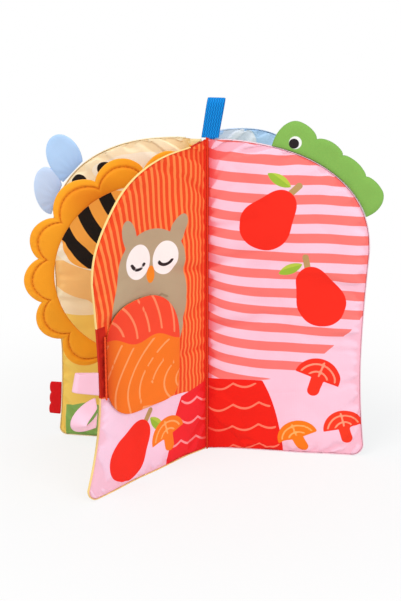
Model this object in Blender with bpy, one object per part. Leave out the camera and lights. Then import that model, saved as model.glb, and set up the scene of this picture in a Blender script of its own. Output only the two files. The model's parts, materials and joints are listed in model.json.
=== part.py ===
"""Crinkle cloth book with padded pages, a scalloped ring page, sewn tabs, a leaf flap and ribbon loops.

The book stands open on the lower edges of its pages. The origin is the foot of the middle fold,
+Z is up, and the right page runs along +X. Each page turns on a stitched fold, and the folds form
a chain: right cover, right page, left page, ring page, left cover. In a page's own space u runs
out from its fold, z runs up, and depth runs from its reading side to its back.
"""

import math
from dataclasses import dataclass

import bpy
import bmesh
from mathutils import Matrix, Vector

# Fabric, seams and clearances
PANEL = 0.0005
FILM = 0.0002
GAP = 0.0003
SEAM_HALF = 0.0007
RIM = 0.0005
PAGE_HALF = 0.0019
RING_HALF = 0.0016
STITCH_RADIUS = 0.0006
LEAF_START = 0.0003
SEAM_MARGIN = 0.005
CROWN_RUN = 0.014
CROWN_POWER_SHARE = 0.65
FOLD_RUN = 0.022
FOLD_STEP = 0.0045
FLAP_ROOM = 0.0026
SHUT_GAP = 0.0004

# Pages
PAGE_HEIGHT = 0.210
LEFT_PAGE_HEIGHT = 0.209
RIGHT_COVER_HEIGHT = 0.2135
ARCH_START = 0.140
ARCH_EXPONENT = 2.3
RIGHT_PAGE_WIDTH = 0.1015
RIGHT_COVER_WIDTH = 0.0970
LEFT_PAGE_WIDTH = 0.0970
LEFT_COVER_WIDTH = 0.0915
LEFT_PAGE_WAIST = 0.0040
LEFT_PAGE_FLARE = 0.0110
RIGHT_PAGE_WAIST = 0.0025
RIGHT_PAGE_FLARE = 0.0025
FLARE_HEIGHT = 0.072
CORNER_RADIUS = 0.008
CORNER_LEAST = 0.001
PAGE_INSETS = (0.0185, 0.012, 0.0085, 0.005)
PANEL_EDGE_INSET = 0.0008
FILLING_INSETS = PAGE_INSETS[:3]
BOTTOM_SHARES = (0.0, 0.06, 0.12, 0.2, 0.35, 0.62, 1.0)
CORNER_STEPS = 3
EDGE_STEPS = 6
ARCH_STEPS = 12
SPINE_STEPS = 6

# Rest angles between neighbouring pages, in degrees
SPREAD_ANGLE = 125.0
RING_ANGLE = 37.0
LEFT_COVER_ANGLE = 21.5
RIGHT_COVER_ANGLE = 50.0

# Stitched folds
STITCH_FOOT = 0.0
STITCH_TOP_INSET = 0.004
STITCH_SIDES = 8

# Ring page
STRIP_WIDTH = 0.0052
STRIP_END_INSET = 0.004
RING_CENTRE_U = 0.0355
RING_CENTRE_Z = 0.126
RING_HOLE_RADIUS = 0.0555
RING_VALLEY_RADIUS = 0.0655
RING_LOBE = 0.0090
RING_LOBE_POWER_SHARE = 0.7
RING_VALLEY_ANGLES = (-138.0, -113.0, -88.5, -63.5, -39.0, -14.5, 10.5, 35.0, 68.5, 93.0, 118.0, 143.0)
RING_STEPS_PER_LOBE = 5
RING_LEAST_SHARE = 0.012
RING_CROWN_RUN = 0.005
CHANNEL_INSET = 0.0035
CHANNEL_DIP_SHARE = 0.3
CHANNEL_SIDE_SHARES = (1.6, 0.45)
RING_INNER_SHARE = 0.25
RING_CHANNEL_COLUMN = 3
RING_LAST_COLUMN = 5

# Leaf flap on the left page
FLAP_HINGE_U = 0.090
FLAP_CENTRE_INSET = 0.031
FLAP_CENTRE_U = FLAP_HINGE_U - FLAP_CENTRE_INSET
FLAP_CENTRE_Z = 0.0855
FLAP_HALF_WIDTH = 0.0315
FLAP_HALF_HEIGHT = 0.037
FLAP_EXPONENTS = (2.8, 2.4, 7.0, 2.6)
FLAP_STEPS = 7
FLAP_INNER_SHARE = 0.9
FLAP_FILM_SHARE = 0.9
FLAP_STITCH_SHARE = 0.55
HINGE_REACH = 0.0009

# Tabs sewn into the page edges
TAB_GAP = 0.0005
TAB_AXIS_RISE = 0.0005
TAB_EDGE_HALF = 0.00045
TAB_MID_HALF = 0.0011
TAB_INNER_SHARES = (0.82, 0.5)
WING_STEPS = 14
UPPER_WING_FOOT_SHARES = (0.543, 0.721)
UPPER_WING_AXES = (0.0150, 0.0112)
UPPER_WING_RISE = 0.0100
UPPER_WING_SHIFT = 0.0034
UPPER_WING_TILT = 25.0
LOWER_WING_FOOT_SHARES = (0.243, 0.507)
LOWER_WING_AXES = (0.0155, 0.0095)
LOWER_WING_RISE = 0.0062
LOWER_WING_SHIFT = 0.0020
LOWER_WING_TILT = 62.0

RED_TAB_FOOT_Z = 0.0150
RED_TAB_LENGTH = 0.0234
RED_TAB_REACH = 0.0088
RED_TAB_BUMPS = 3
RED_TAB_STEPS = 5

GREEN_TAB_SPAN = (0.2065, 0.1635)
GREEN_TAB_BUMP_SHARES = (0.0, 0.334, 0.547, 0.753, 1.0)
GREEN_TAB_PEAKS = (0.0184, 0.0152, 0.0142, 0.0156)
GREEN_TAB_VALLEY = 0.0118
GREEN_TAB_STEPS = 32
GREEN_TAB_HALF = 0.0016
GREEN_TAB_PANEL = 0.0005
GREEN_TAB_ROWS = (0.0, 0.12, 0.45, 0.82, 1.0)
GREEN_TAB_END_POWER_SHARE = 0.5

# Ribbon and tape loops
RIBBON = 0.0006
UPPER_RIBBON_FOOT_Z = 0.0690
UPPER_RIBBON_WIDTH = 0.0150
UPPER_RIBBON_REACH = 0.0200
UPPER_RIBBON_BULGE = 0.0017
UPPER_RIBBON_LIFT = 0.0035
LOWER_RIBBON_TOP_Z = 0.0672
LOWER_RIBBON_FOOT_Z = 0.0475
LOWER_RIBBON_REACH = 0.0175
LOWER_RIBBON_DROP = 0.0030
LOWER_RIBBON_BAND = 0.0088
LOWER_RIBBON_SHIFT = 0.0005
LOWER_RIBBON_END_BAND = 0.0014
TAPE = 0.0008
TAPE_WIDTH = 0.0106
TAPE_REACH = 0.0242
TAPE_BULGE = 0.0030
TAPE_LEAN = 0.0040
TAPE_CENTRE_X = 0.0012
FOOT_GAP = 0.0008
LOOP_STEPS = 16


def smooth(share):
    """Ease from 0 to 1 with level ends."""
    share = min(max(share, 0.0), 1.0)
    return share * share * (3.0 - 2.0 * share)


@dataclass
class Page:
    """One sewn page: which way its back faces, its outline and its padding."""

    name: str
    side: int
    width: float
    height: float
    half: float
    carrier: "Page" = None
    waist: float = 0.0
    flare: float = 0.0

    def crown(self, inset):
        """Half of the thickness at a distance in from a sewn edge."""
        reach = min(max(inset / CROWN_RUN, 0.0), 1.0)
        swell = (1.0 - (1.0 - reach) ** 2) ** CROWN_POWER_SHARE
        return SEAM_HALF + (self.half - SEAM_HALF) * swell

    def fold_half(self, u):
        """Half of the thickness away from the top and bottom, at u from the fold."""
        return self.crown(u - LEAF_START - SEAM_MARGIN)

    def half_at(self, u, inset):
        """Half of the thickness at u, a distance inset in from the outline."""
        return min(self.crown(inset), self.fold_half(u))

    def middle(self, u):
        """Depth of the page's middle surface, which bends away from its neighbour near the fold."""
        half = self.fold_half(u)
        stitch_room = STITCH_RADIUS + GAP
        bend = smooth(u / FOLD_RUN)
        if self.carrier is None:
            return half + stitch_room + (FLAP_ROOM / 2 - stitch_room) * bend
        beyond = u + FOLD_STEP
        face = self.carrier.middle(beyond) + self.carrier.fold_half(beyond)
        room = SHUT_GAP + (2 * stitch_room - SHUT_GAP) * (1.0 - bend)
        return face + room + half - self.carrier.next_fold_depth()

    def next_fold_depth(self):
        """Depth of the fold that this page carries on its back, FOLD_STEP out from its own."""
        return self.middle(FOLD_STEP) + self.fold_half(FOLD_STEP) + STITCH_RADIUS + GAP

    def edge(self, z):
        """How far out the outer edge lies at a height below the arch."""
        drawn_in = self.waist * math.sin(math.pi * z / ARCH_START)
        splay = self.flare * max(0.0, 1.0 - z / FLARE_HEIGHT) ** 2
        return self.width - drawn_in + splay

    def arch_z(self, u, inset=0.0):
        """Height of the arch at u."""
        share = min(u / (self.width - inset), 1.0)
        rise = self.height - ARCH_START - inset
        return ARCH_START + rise * (1.0 - share ** ARCH_EXPONENT) ** (1.0 / ARCH_EXPONENT)

    def arch_u(self, z, inset=0.0):
        """How far out the arch lies at a height above its start."""
        share = min((z - ARCH_START) / (self.height - ARCH_START - inset), 1.0)
        return (self.width - inset) * (1.0 - share ** ARCH_EXPONENT) ** (1.0 / ARCH_EXPONENT)

    def outline(self, inset):
        """Points (u, z) of the outline drawn in by inset, from the foot of the fold anticlockwise."""
        start = LEAF_START + inset
        radius = max(CORNER_RADIUS - inset, CORNER_LEAST)
        corner_z = inset + radius
        corner_u = self.edge(corner_z) - inset - radius
        points = [(start + (corner_u - start) * share, inset) for share in BOTTOM_SHARES]
        for step in range(1, CORNER_STEPS + 1):
            angle = math.pi / 2 * step / CORNER_STEPS
            points.append((corner_u + radius * math.sin(angle), corner_z - radius * math.cos(angle)))
        for step in range(1, EDGE_STEPS + 1):
            z = corner_z + (ARCH_START - corner_z) * step / EDGE_STEPS
            points.append((self.edge(z) - inset, z))
        power = 2.0 / ARCH_EXPONENT
        for step in range(1, ARCH_STEPS + 1):
            angle = math.pi / 2 * step / ARCH_STEPS
            u = (self.width - inset) * max(math.cos(angle), 0.0) ** power
            z = ARCH_START + (self.height - ARCH_START - inset) * math.sin(angle) ** power
            points.append((max(u, start), z))
        top = points[-1][1]
        for step in range(1, SPINE_STEPS):
            points.append((start, top + (inset - top) * step / SPINE_STEPS))
        return points

    def place(self, u, depth, z):
        """A point of the page in its own object space."""
        return Vector((u, self.side * depth, z))


RIGHT_PAGE = Page("right_page", 1, RIGHT_PAGE_WIDTH, PAGE_HEIGHT, PAGE_HALF, None,
                  RIGHT_PAGE_WAIST, RIGHT_PAGE_FLARE)
RIGHT_COVER = Page("right_cover", 1, RIGHT_COVER_WIDTH, RIGHT_COVER_HEIGHT, PAGE_HALF, RIGHT_PAGE)
LEFT_PAGE = Page("left_page", -1, LEFT_PAGE_WIDTH, LEFT_PAGE_HEIGHT, PAGE_HALF, None,
                 LEFT_PAGE_WAIST, LEFT_PAGE_FLARE)
RING_PAGE = Page("ring_page", -1, LEFT_COVER_WIDTH, PAGE_HEIGHT, RING_HALF, LEFT_PAGE)
LEFT_COVER = Page("left_cover", -1, LEFT_COVER_WIDTH, PAGE_HEIGHT, PAGE_HALF, RING_PAGE)


def clear_scene():
    """Remove every object, so that the script gives the same model in any file."""
    for item in list(bpy.data.objects):
        bpy.data.objects.remove(item, do_unlink=True)


def make_material(name, hex_colour, roughness):
    """A plain cloth colour, given as sRGB hex."""
    channels = [int(hex_colour[i:i + 2], 16) / 255 for i in (0, 2, 4)]
    linear = [c / 12.92 if c <= 0.04045 else ((c + 0.055) / 1.055) ** 2.4 for c in channels]
    material = bpy.data.materials.new(name)
    material.use_nodes = True
    shader = material.node_tree.nodes["Principled BSDF"]
    shader.inputs["Base Color"].default_value = (*linear, 1.0)
    shader.inputs["Roughness"].default_value = roughness
    shader.inputs["Metallic"].default_value = 0.0
    return material


def make_axis(name, parent, location, rotation):
    """An empty on a joint's axis, which carries what turns there."""
    empty = bpy.data.objects.new(name, None)
    bpy.context.collection.objects.link(empty)
    empty.parent = parent
    empty.matrix_local = Matrix.Translation(location) @ rotation
    return empty


def turn_z(degrees):
    """A turn about the upright."""
    return Matrix.Rotation(math.radians(degrees), 4, "Z")


def link_mesh(name, mesh_edit, parent, material):
    """Turn an edit mesh into a smooth-shaded object with its faces outwards."""
    bmesh.ops.recalc_face_normals(mesh_edit, faces=mesh_edit.faces)
    if mesh_edit.calc_volume(signed=True) < 0.0:
        bmesh.ops.reverse_faces(mesh_edit, faces=mesh_edit.faces)
    mesh = bpy.data.meshes.new(name)
    mesh_edit.to_mesh(mesh)
    mesh_edit.free()
    mesh.shade_smooth()
    mesh.set_sharp_from_angle(angle=math.radians(40.0))
    item = bpy.data.objects.new(name, mesh)
    bpy.context.collection.objects.link(item)
    item.parent = parent
    item.data.materials.append(material)
    return item


def skin_rings(rings):
    """Skin closed rings of points in order, and close both ends."""
    mesh_edit = bmesh.new()
    rows = [[mesh_edit.verts.new(point) for point in ring] for ring in rings]
    count = len(rows[0])
    for row, following in zip(rows, rows[1:]):
        for i in range(count):
            j = (i + 1) % count
            mesh_edit.faces.new((row[i], row[j], following[j], following[i]))
    mesh_edit.faces.new(rows[0][::-1])
    mesh_edit.faces.new(rows[-1])
    return mesh_edit


def page_layer(name, page, rows, parent, material):
    """One sewn or cut layer of a page, from rows of (inset, depth rule) round its outline."""
    rings = []
    for inset, depth_rule in rows:
        ring = []
        for u, z in page.outline(inset):
            depth = page.middle(u) + depth_rule(page.half_at(u, inset))
            ring.append(page.place(u, depth, z))
        rings.append(ring)
    return link_mesh(name, skin_rings(rings), parent, material)


def front_panel(page, parent, material):
    """The printed fabric on the reading side."""
    insets = (*PAGE_INSETS, PANEL_EDGE_INSET)
    rows = [(inset, lambda half: -half) for inset in insets]
    rows += [(inset, lambda half: PANEL - half) for inset in reversed(insets)]
    return page_layer(f"{page.name}_front", page, rows, parent, material)


def back_panel(page, parent, material):
    """The backing fabric, whose turned-up rim makes the page's edge and its foot."""
    rows = [(inset, lambda half: half - PANEL) for inset in (*PAGE_INSETS, RIM)]
    rows += [(RIM, lambda half: -half), (0.0, lambda half: -half)]
    rows += [(inset, lambda half: half) for inset in (0.0, *reversed(PAGE_INSETS))]
    return page_layer(f"{page.name}_back", page, rows, parent, material)


def page_wadding(page, parent, material):
    """The soft filling behind the printed fabric."""
    behind = PANEL + 2 * GAP + FILM
    rows = [(inset, lambda half: PANEL + GAP - half) for inset in FILLING_INSETS]
    rows += [(inset, lambda half: half - PANEL - behind) for inset in reversed(FILLING_INSETS)]
    return page_layer(f"{page.name}_wadding", page, rows, parent, material)


def page_film(page, parent, material):
    """The crinkle film, which lies against the backing."""
    rows = [(inset, lambda half: half - PANEL - GAP - FILM) for inset in FILLING_INSETS]
    rows += [(inset, lambda half: half - PANEL - GAP) for inset in reversed(FILLING_INSETS)]
    return page_layer(f"{page.name}_crinkle_film", page, rows, parent, material)


def padded_page(page, parent, colours):
    """A whole page: two fabrics, wadding and crinkle film."""
    front_panel(page, parent, colours[f"{page.name}_front"])
    back_panel(page, parent, colours[f"{page.name}_back"])
    page_wadding(page, parent, colours["wadding"])
    page_film(page, parent, colours["film"])


def stitch_line(name, foot, length, parent, material):
    """A row of fold stitching, drawn as one round thread."""
    rings = []
    for z in (0.0, length):
        ring = []
        for i in range(STITCH_SIDES):
            angle = 2 * math.pi * (i + 0.5) / STITCH_SIDES
            offset = Vector((math.cos(angle), math.sin(angle), 0.0)) * STITCH_RADIUS
            ring.append(foot + offset + Vector((0.0, 0.0, z)))
        rings.append(ring)
    return link_mesh(name, skin_rings(rings), parent, material)


def ring_half(u, edge_distance):
    """Half of the ring's thickness, thin at both sewn edges and at the strip."""
    reach = min(edge_distance / RING_CROWN_RUN, 1.0)
    swell = (1.0 - (1.0 - reach) ** 2) ** CROWN_POWER_SHARE
    across = SEAM_HALF + (RING_HALF - SEAM_HALF) * swell
    return min(across, RING_PAGE.fold_half(u))


def ring_outer_radius(angle):
    """Radius of the scalloped edge at an angle about the ring's centre."""
    turn = math.degrees(angle)
    lobes = zip(RING_VALLEY_ANGLES, RING_VALLEY_ANGLES[1:])
    low, high = next((low, high) for low, high in lobes if low <= turn <= high)
    wave = max(math.sin(math.pi * (turn - low) / (high - low)), 0.0)
    return RING_VALLEY_RADIUS + RING_LOBE * wave ** RING_LOBE_POWER_SHARE


def ring_across(width):
    """Places across the ring's band: hole edge, inner pad, stitched channel and scalloped edge."""
    near, far = CHANNEL_SIDE_SHARES
    return (0.0, RING_INNER_SHARE * width, width - near * CHANNEL_INSET, width - CHANNEL_INSET,
            width - far * CHANNEL_INSET, width)


def ring_end_angle(column):
    """Angle about the ring's centre at which a place across the band meets the binding strip."""
    reach = (RING_VALLEY_RADIUS - RING_HOLE_RADIUS) * column / RING_LAST_COLUMN
    return math.acos((STRIP_WIDTH + GAP - RING_CENTRE_U) / (RING_HOLE_RADIUS + reach))


def ring_shares():
    """Shares of the way round at which the ring's cross-sections lie, the same number in each lobe."""
    end = math.degrees(ring_end_angle(RING_LAST_COLUMN))
    shares = []
    for low, high in zip(RING_VALLEY_ANGLES, RING_VALLEY_ANGLES[1:]):
        step = (high - low) / RING_STEPS_PER_LOBE
        shares += [(low + step * index) / end for index in range(RING_STEPS_PER_LOBE)]
    inside = [share for share in shares if abs(share) < 1.0 - RING_LEAST_SHARE]
    return [-1.0, *inside, 1.0]


def ring_section(share, columns, depth_rules):
    """One cross-section of the ring at a share of its way round, as a closed loop of points."""
    start = STRIP_WIDTH + GAP
    points = []
    for depth_rule, order in depth_rules:
        for column in order(columns):
            angle = share * ring_end_angle(column)
            width = ring_outer_radius(angle) - RING_HOLE_RADIUS
            across = ring_across(width)[column]
            radius = RING_HOLE_RADIUS + across
            u = max(start, RING_CENTRE_U + radius * math.cos(angle))
            z = RING_CENTRE_Z + radius * math.sin(angle)
            half = ring_half(u, min(across, width - across))
            if column == RING_CHANNEL_COLUMN:
                half = SEAM_HALF + (half - SEAM_HALF) * (1.0 - CHANNEL_DIP_SHARE)
            points.append(RING_PAGE.place(u, RING_PAGE.middle(u) + depth_rule(half), z))
    return points


def ring_layer(name, columns, upper_rule, lower_rule, parent, material):
    """One layer of the ring page between two depth rules, over the given places across."""
    rules = ((upper_rule, lambda c: c), (lower_rule, lambda c: tuple(reversed(c))))
    rings = [ring_section(share, columns, rules) for share in ring_shares()]
    return link_mesh(name, skin_rings(rings), parent, material)


def ring_page(parent, colours):
    """The scalloped ring with its binding strip, two fabrics and wadding."""
    columns = tuple(range(RING_LAST_COLUMN + 1))
    ring_layer("ring_page_front", columns, lambda h: -h, lambda h: PANEL - h, parent, colours["ring"])
    ring_layer("ring_page_back", columns, lambda h: h - PANEL, lambda h: h, parent, colours["ring"])
    ring_layer("ring_page_wadding", columns[1:3], lambda h: PANEL + GAP - h,
               lambda h: h - PANEL - GAP, parent, colours["wadding"])
    binding_strip(parent, colours["ring"])


def binding_strip(parent, material):
    """The upright strip that binds the ring page into the folds."""
    rings = []
    for z in (STRIP_END_INSET, PAGE_HEIGHT - STRIP_END_INSET):
        near = RING_PAGE.middle(LEAF_START)
        far = RING_PAGE.middle(STRIP_WIDTH)
        rings.append([
            RING_PAGE.place(LEAF_START, near - SEAM_HALF, z),
            RING_PAGE.place(STRIP_WIDTH, far - SEAM_HALF, z),
            RING_PAGE.place(STRIP_WIDTH, far + SEAM_HALF, z),
            RING_PAGE.place(LEAF_START, near + SEAM_HALF, z),
        ])
    return link_mesh("ring_page_binding_strip", skin_rings(rings), parent, material)


def pillow(name, outline, parent, material, edge_half=TAB_EDGE_HALF, mid_half=TAB_MID_HALF):
    """A flat padded tab in the plane of local X and Z, thin at its edge."""
    middle_x = sum(x for x, _ in outline) / len(outline)
    middle_z = sum(z for _, z in outline) / len(outline)
    levels = ((1.0, edge_half), *zip(TAB_INNER_SHARES, (mid_half, mid_half)))
    order = [(s, -h) for s, h in reversed(levels)] + [(s, h) for s, h in levels]
    rings = []
    for share, y in order:
        rings.append([Vector((middle_x + (x - middle_x) * share, y, middle_z + (z - middle_z) * share))
                      for x, z in outline])
    return link_mesh(name, skin_rings(rings), parent, material)


def edge_frame(page, first, second):
    """The frame of a tab on the arch: X along its foot, Z outwards, above the arch's bulge."""
    start = Vector((page.arch_u(first), first))
    end = Vector((page.arch_u(second), second))
    along = (end - start).normalized()
    outwards = Vector((along.y, -along.x))
    bulge = 0.0
    for step in range(LOOP_STEPS + 1):
        z = first + (second - first) * step / LOOP_STEPS
        bulge = max(bulge, (Vector((page.arch_u(z), z)) - start).dot(outwards))
    foot = (start + end) / 2 + outwards * (bulge + TAB_GAP + TAB_AXIS_RISE)
    x_axis = Vector((along.x, 0.0, along.y))
    z_axis = Vector((outwards.x, 0.0, outwards.y))
    y_axis = z_axis.cross(x_axis)
    rotation = Matrix((x_axis, y_axis, z_axis)).transposed().to_4x4()
    return page.place(foot.x, page.middle(foot.x), foot.y), rotation


def wing_outline(axes, rise, shift, tilt):
    """A petal: an ellipse that leans along the foot, cut straight at the foot."""
    angle = math.radians(tilt)
    long_axis, short_axis = axes
    cos_part = long_axis * math.cos(angle)
    sin_part = short_axis * math.sin(angle)
    span = math.hypot(cos_part, sin_part)
    lean = math.atan2(sin_part, cos_part)
    reach = math.acos(max(-1.0, (-TAB_AXIS_RISE - rise) / span))
    points = []
    for step in range(WING_STEPS + 1):
        turn = lean - reach + 2 * reach * step / WING_STEPS
        along = long_axis * math.cos(turn) * math.sin(angle) - short_axis * math.sin(turn) * math.cos(angle)
        out = long_axis * math.cos(turn) * math.cos(angle) + short_axis * math.sin(turn) * math.sin(angle)
        points.append((shift + along, rise + out))
    return points


def wing_tab(name, foot_shares, axes, rise, shift, tilt, parent, material):
    """A petal tab that hinges on its straight foot, between two shares of the left cover's arch."""
    foot = [ARCH_START + share * (LEFT_COVER.height - ARCH_START) for share in foot_shares]
    location, rotation = edge_frame(LEFT_COVER, *foot)
    axis = make_axis(f"{name}_axis", parent, location, rotation)
    return pillow(name, wing_outline(axes, rise, shift, tilt), axis, material)


def red_tab(parent, material):
    """The three-scallop tab in the left cover's outer edge."""
    radius = RED_TAB_LENGTH / RED_TAB_BUMPS / 2
    points = [(-TAB_AXIS_RISE, 0.0), (RED_TAB_REACH - radius, 0.0)]
    for bump in range(RED_TAB_BUMPS):
        middle = radius * (2 * bump + 1)
        for step in range(1, RED_TAB_STEPS):
            angle = math.pi * step / RED_TAB_STEPS
            out = RED_TAB_REACH - radius + radius * math.sin(angle)
            points.append((out, middle - radius * math.cos(angle)))
        points.append((RED_TAB_REACH - radius, middle + radius))
    points.append((-TAB_AXIS_RISE, RED_TAB_LENGTH))
    hinge_u = LEFT_COVER.width + TAB_GAP + TAB_AXIS_RISE
    location = LEFT_COVER.place(hinge_u, LEFT_COVER.middle(hinge_u), RED_TAB_FOOT_Z)
    axis = make_axis("red_tab_axis", parent, location, Matrix.Identity(4))
    return pillow("red_tab", points, axis, material)


def green_height(share):
    """How far the green tab stands off the arch at a share of its length."""
    for peak, low, high in zip(GREEN_TAB_PEAKS, GREEN_TAB_BUMP_SHARES, GREEN_TAB_BUMP_SHARES[1:]):
        if share <= high or high == GREEN_TAB_BUMP_SHARES[-1]:
            inside = (share - low) / (high - low)
            left = 0.0 if low == GREEN_TAB_BUMP_SHARES[0] else GREEN_TAB_VALLEY
            right = 0.0 if high == GREEN_TAB_BUMP_SHARES[-1] else GREEN_TAB_VALLEY
            floor = left if inside < 0.5 else right
            wave = max(math.sin(math.pi * inside), 0.0) ** GREEN_TAB_END_POWER_SHARE
            return floor + (peak - floor) * wave
    return 0.0


def green_arch_point(share, out):
    """A point a distance out from the right page's arch, at a share of the tab's length."""
    page = RIGHT_PAGE
    first, last = GREEN_TAB_SPAN
    start_u, end_u = page.arch_u(first), page.arch_u(last)
    start_angle = math.atan2(first - ARCH_START, start_u)
    end_angle = math.atan2(last - ARCH_START, end_u)
    angle = start_angle + (end_angle - start_angle) * share
    rise = page.height - ARCH_START
    power = ARCH_EXPONENT
    unit = (abs(math.cos(angle)) / page.width) ** power + (abs(math.sin(angle)) / rise) ** power
    radius = unit ** (-1.0 / power)
    u, z = radius * math.cos(angle), radius * math.sin(angle)
    slope = Vector((u ** (power - 1) / page.width ** power, z ** (power - 1) / rise ** power)).normalized()
    return u + slope.x * out, ARCH_START + z + slope.y * out


def green_layer(name, upper_rule, lower_rule, rows, parent, material):
    """One layer of the green tab, as cross-sections along the arch."""
    rings = []
    for step in range(1, GREEN_TAB_STEPS):
        share = step / GREEN_TAB_STEPS
        height = max(green_height(share), 2 * GREEN_TAB_HALF)
        ring = []
        for rule, order in ((upper_rule, rows), (lower_rule, tuple(reversed(rows)))):
            for row in order:
                ends = min(share, 1.0 - share) * GREEN_TAB_STEPS / 2
                swell = math.sin(math.pi * min(max(row, 0.06), 0.94)) ** 0.5 * min(ends, 1.0) ** 0.5
                half = SEAM_HALF + (GREEN_TAB_HALF - SEAM_HALF) * swell
                u, z = green_arch_point(share, GAP + row * height)
                ring.append(RIGHT_PAGE.place(u, RIGHT_PAGE.middle(u) + rule(half), z))
        rings.append(ring)
    return link_mesh(name, skin_rings(rings), parent, material)


def green_tab(parent, colours):
    """The padded tab with four bumps, sewn round the right page's arch."""
    green_layer("green_tab_front", lambda h: -h, lambda h: -GAP / 2, GREEN_TAB_ROWS, parent, colours["green"])
    green_layer("green_tab_back", lambda h: GAP / 2, lambda h: h, GREEN_TAB_ROWS, parent, colours["green"])


def flap_outline(share):
    """The leaf flap's outline about its centre, cut straight at its hinge side."""
    hinge = FLAP_HINGE_U - HINGE_REACH
    points = []
    for quarter, exponent in enumerate(FLAP_EXPONENTS):
        power = 2.0 / exponent
        for step in range(FLAP_STEPS):
            angle = math.pi / 2 * (quarter + step / FLAP_STEPS)
            cos_part, sin_part = math.cos(angle), math.sin(angle)
            u = math.copysign(abs(cos_part) ** power, cos_part) * FLAP_HALF_WIDTH
            z = math.copysign(abs(sin_part) ** power, sin_part) * FLAP_HALF_HEIGHT
            u = min(FLAP_CENTRE_U + u, hinge)
            points.append((FLAP_CENTRE_U + (u - FLAP_CENTRE_U) * share, FLAP_CENTRE_Z + z * share))
    return points


def flap_layer(name, share, near, far, parent, material):
    """A flat layer of the flap between two depths in front of the left page."""
    hinge = Vector((FLAP_HINGE_U, flap_axis_depth()))
    rings = []
    for depth in (near, far):
        rings.append([LEFT_PAGE.place(u - hinge.x, depth - hinge.y, z) for u, z in flap_outline(share)])
    return link_mesh(name, skin_rings(rings), parent, material)


def flap_axis_depth():
    """Depth of the flap's hinge, one stitch in front of the left page's reading side."""
    return FLAP_ROOM / 2 - STITCH_RADIUS - GAP


def leaf_flap(parent, colours):
    """The leaf-shaped flap: two fabrics with crinkle film between, hinged on a stitched seam."""
    axis = make_axis("leaf_flap_axis", parent, LEFT_PAGE.place(FLAP_HINGE_U, flap_axis_depth(), 0.0),
                     Matrix.Identity(4))
    back = FLAP_ROOM / 2 - GAP
    film = back - PANEL - GAP
    front = film - FILM - GAP
    flap_layer("leaf_flap_back", 1.0, back - PANEL, back, axis, colours["flap"])
    flap_layer("leaf_flap_crinkle_film", FLAP_FILM_SHARE, film - FILM, film, axis, colours["film"])
    flap_layer("leaf_flap_front", 1.0, front - PANEL, front, axis, colours["flap"])
    length = 2 * FLAP_HALF_HEIGHT * FLAP_STITCH_SHARE
    foot = LEFT_PAGE.place(FLAP_HINGE_U, flap_axis_depth(), FLAP_CENTRE_Z - length / 2)
    stitch_line("leaf_flap_stitching", foot, length, parent, colours["thread"])


def strip_sections(path, thickness, widths, to_space):
    """Cross-sections of a ribbon along a flat path; to_space turns (a, b, across) into a point."""
    rings = []
    last = len(path) - 1
    for i, point in enumerate(path):
        before, after = path[max(i - 1, 0)], path[min(i + 1, last)]
        along = (after - before).normalized()
        normal = Vector((-along.y, along.x)) * (thickness / 2)
        width = widths(i / last)
        ring = []
        for side, across in ((1, -0.5), (1, 0.5), (-1, 0.5), (-1, -0.5)):
            place = point + normal * side
            ring.append(to_space(place.x, place.y, across * width))
        rings.append(ring)
    return rings


def hairpin(reach, bulge, thickness):
    """A folded ribbon's path: out from its foot, round the fold and back, open by twice the bulge."""
    pinch = thickness / 2 + GAP / 2
    turn = reach - bulge - thickness / 2
    points = [Vector((-TAB_AXIS_RISE, -pinch)), Vector((TAB_AXIS_RISE * 2, -pinch))]
    shares = (0.25, 0.5, 0.75)
    for share in shares:
        points.append(Vector((turn * share, -pinch - (bulge - pinch) * smooth(share))))
    for step in range(LOOP_STEPS // 2 + 1):
        angle = math.pi * step / (LOOP_STEPS // 2)
        points.append(Vector((turn + bulge * math.sin(angle), -bulge * math.cos(angle))))
    for share in reversed(shares):
        points.append(Vector((turn * share, pinch + (bulge - pinch) * smooth(share))))
    return points + [Vector((TAB_AXIS_RISE * 2, pinch)), Vector((-TAB_AXIS_RISE, pinch))]


def upper_ribbon(parent, material):
    """The folded ribbon tab in the left page's outer edge."""
    z = UPPER_RIBBON_FOOT_Z
    hinge_u = LEFT_PAGE.edge(z + UPPER_RIBBON_WIDTH) + FOOT_GAP + TAB_AXIS_RISE
    location = LEFT_PAGE.place(hinge_u, LEFT_PAGE.middle(hinge_u), z)
    axis = make_axis("upper_ribbon_axis", parent, location, Matrix.Identity(4))
    path = hairpin(UPPER_RIBBON_REACH, UPPER_RIBBON_BULGE, RIBBON)

    def to_space(out, depth, across):
        lift = UPPER_RIBBON_LIFT * max(out, 0.0) / UPPER_RIBBON_REACH
        return Vector((out, depth, UPPER_RIBBON_WIDTH / 2 + across + lift))

    rings = strip_sections(path, RIBBON, lambda share: UPPER_RIBBON_WIDTH, to_space)
    return link_mesh("upper_ribbon", skin_rings(rings), axis, material)


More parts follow.
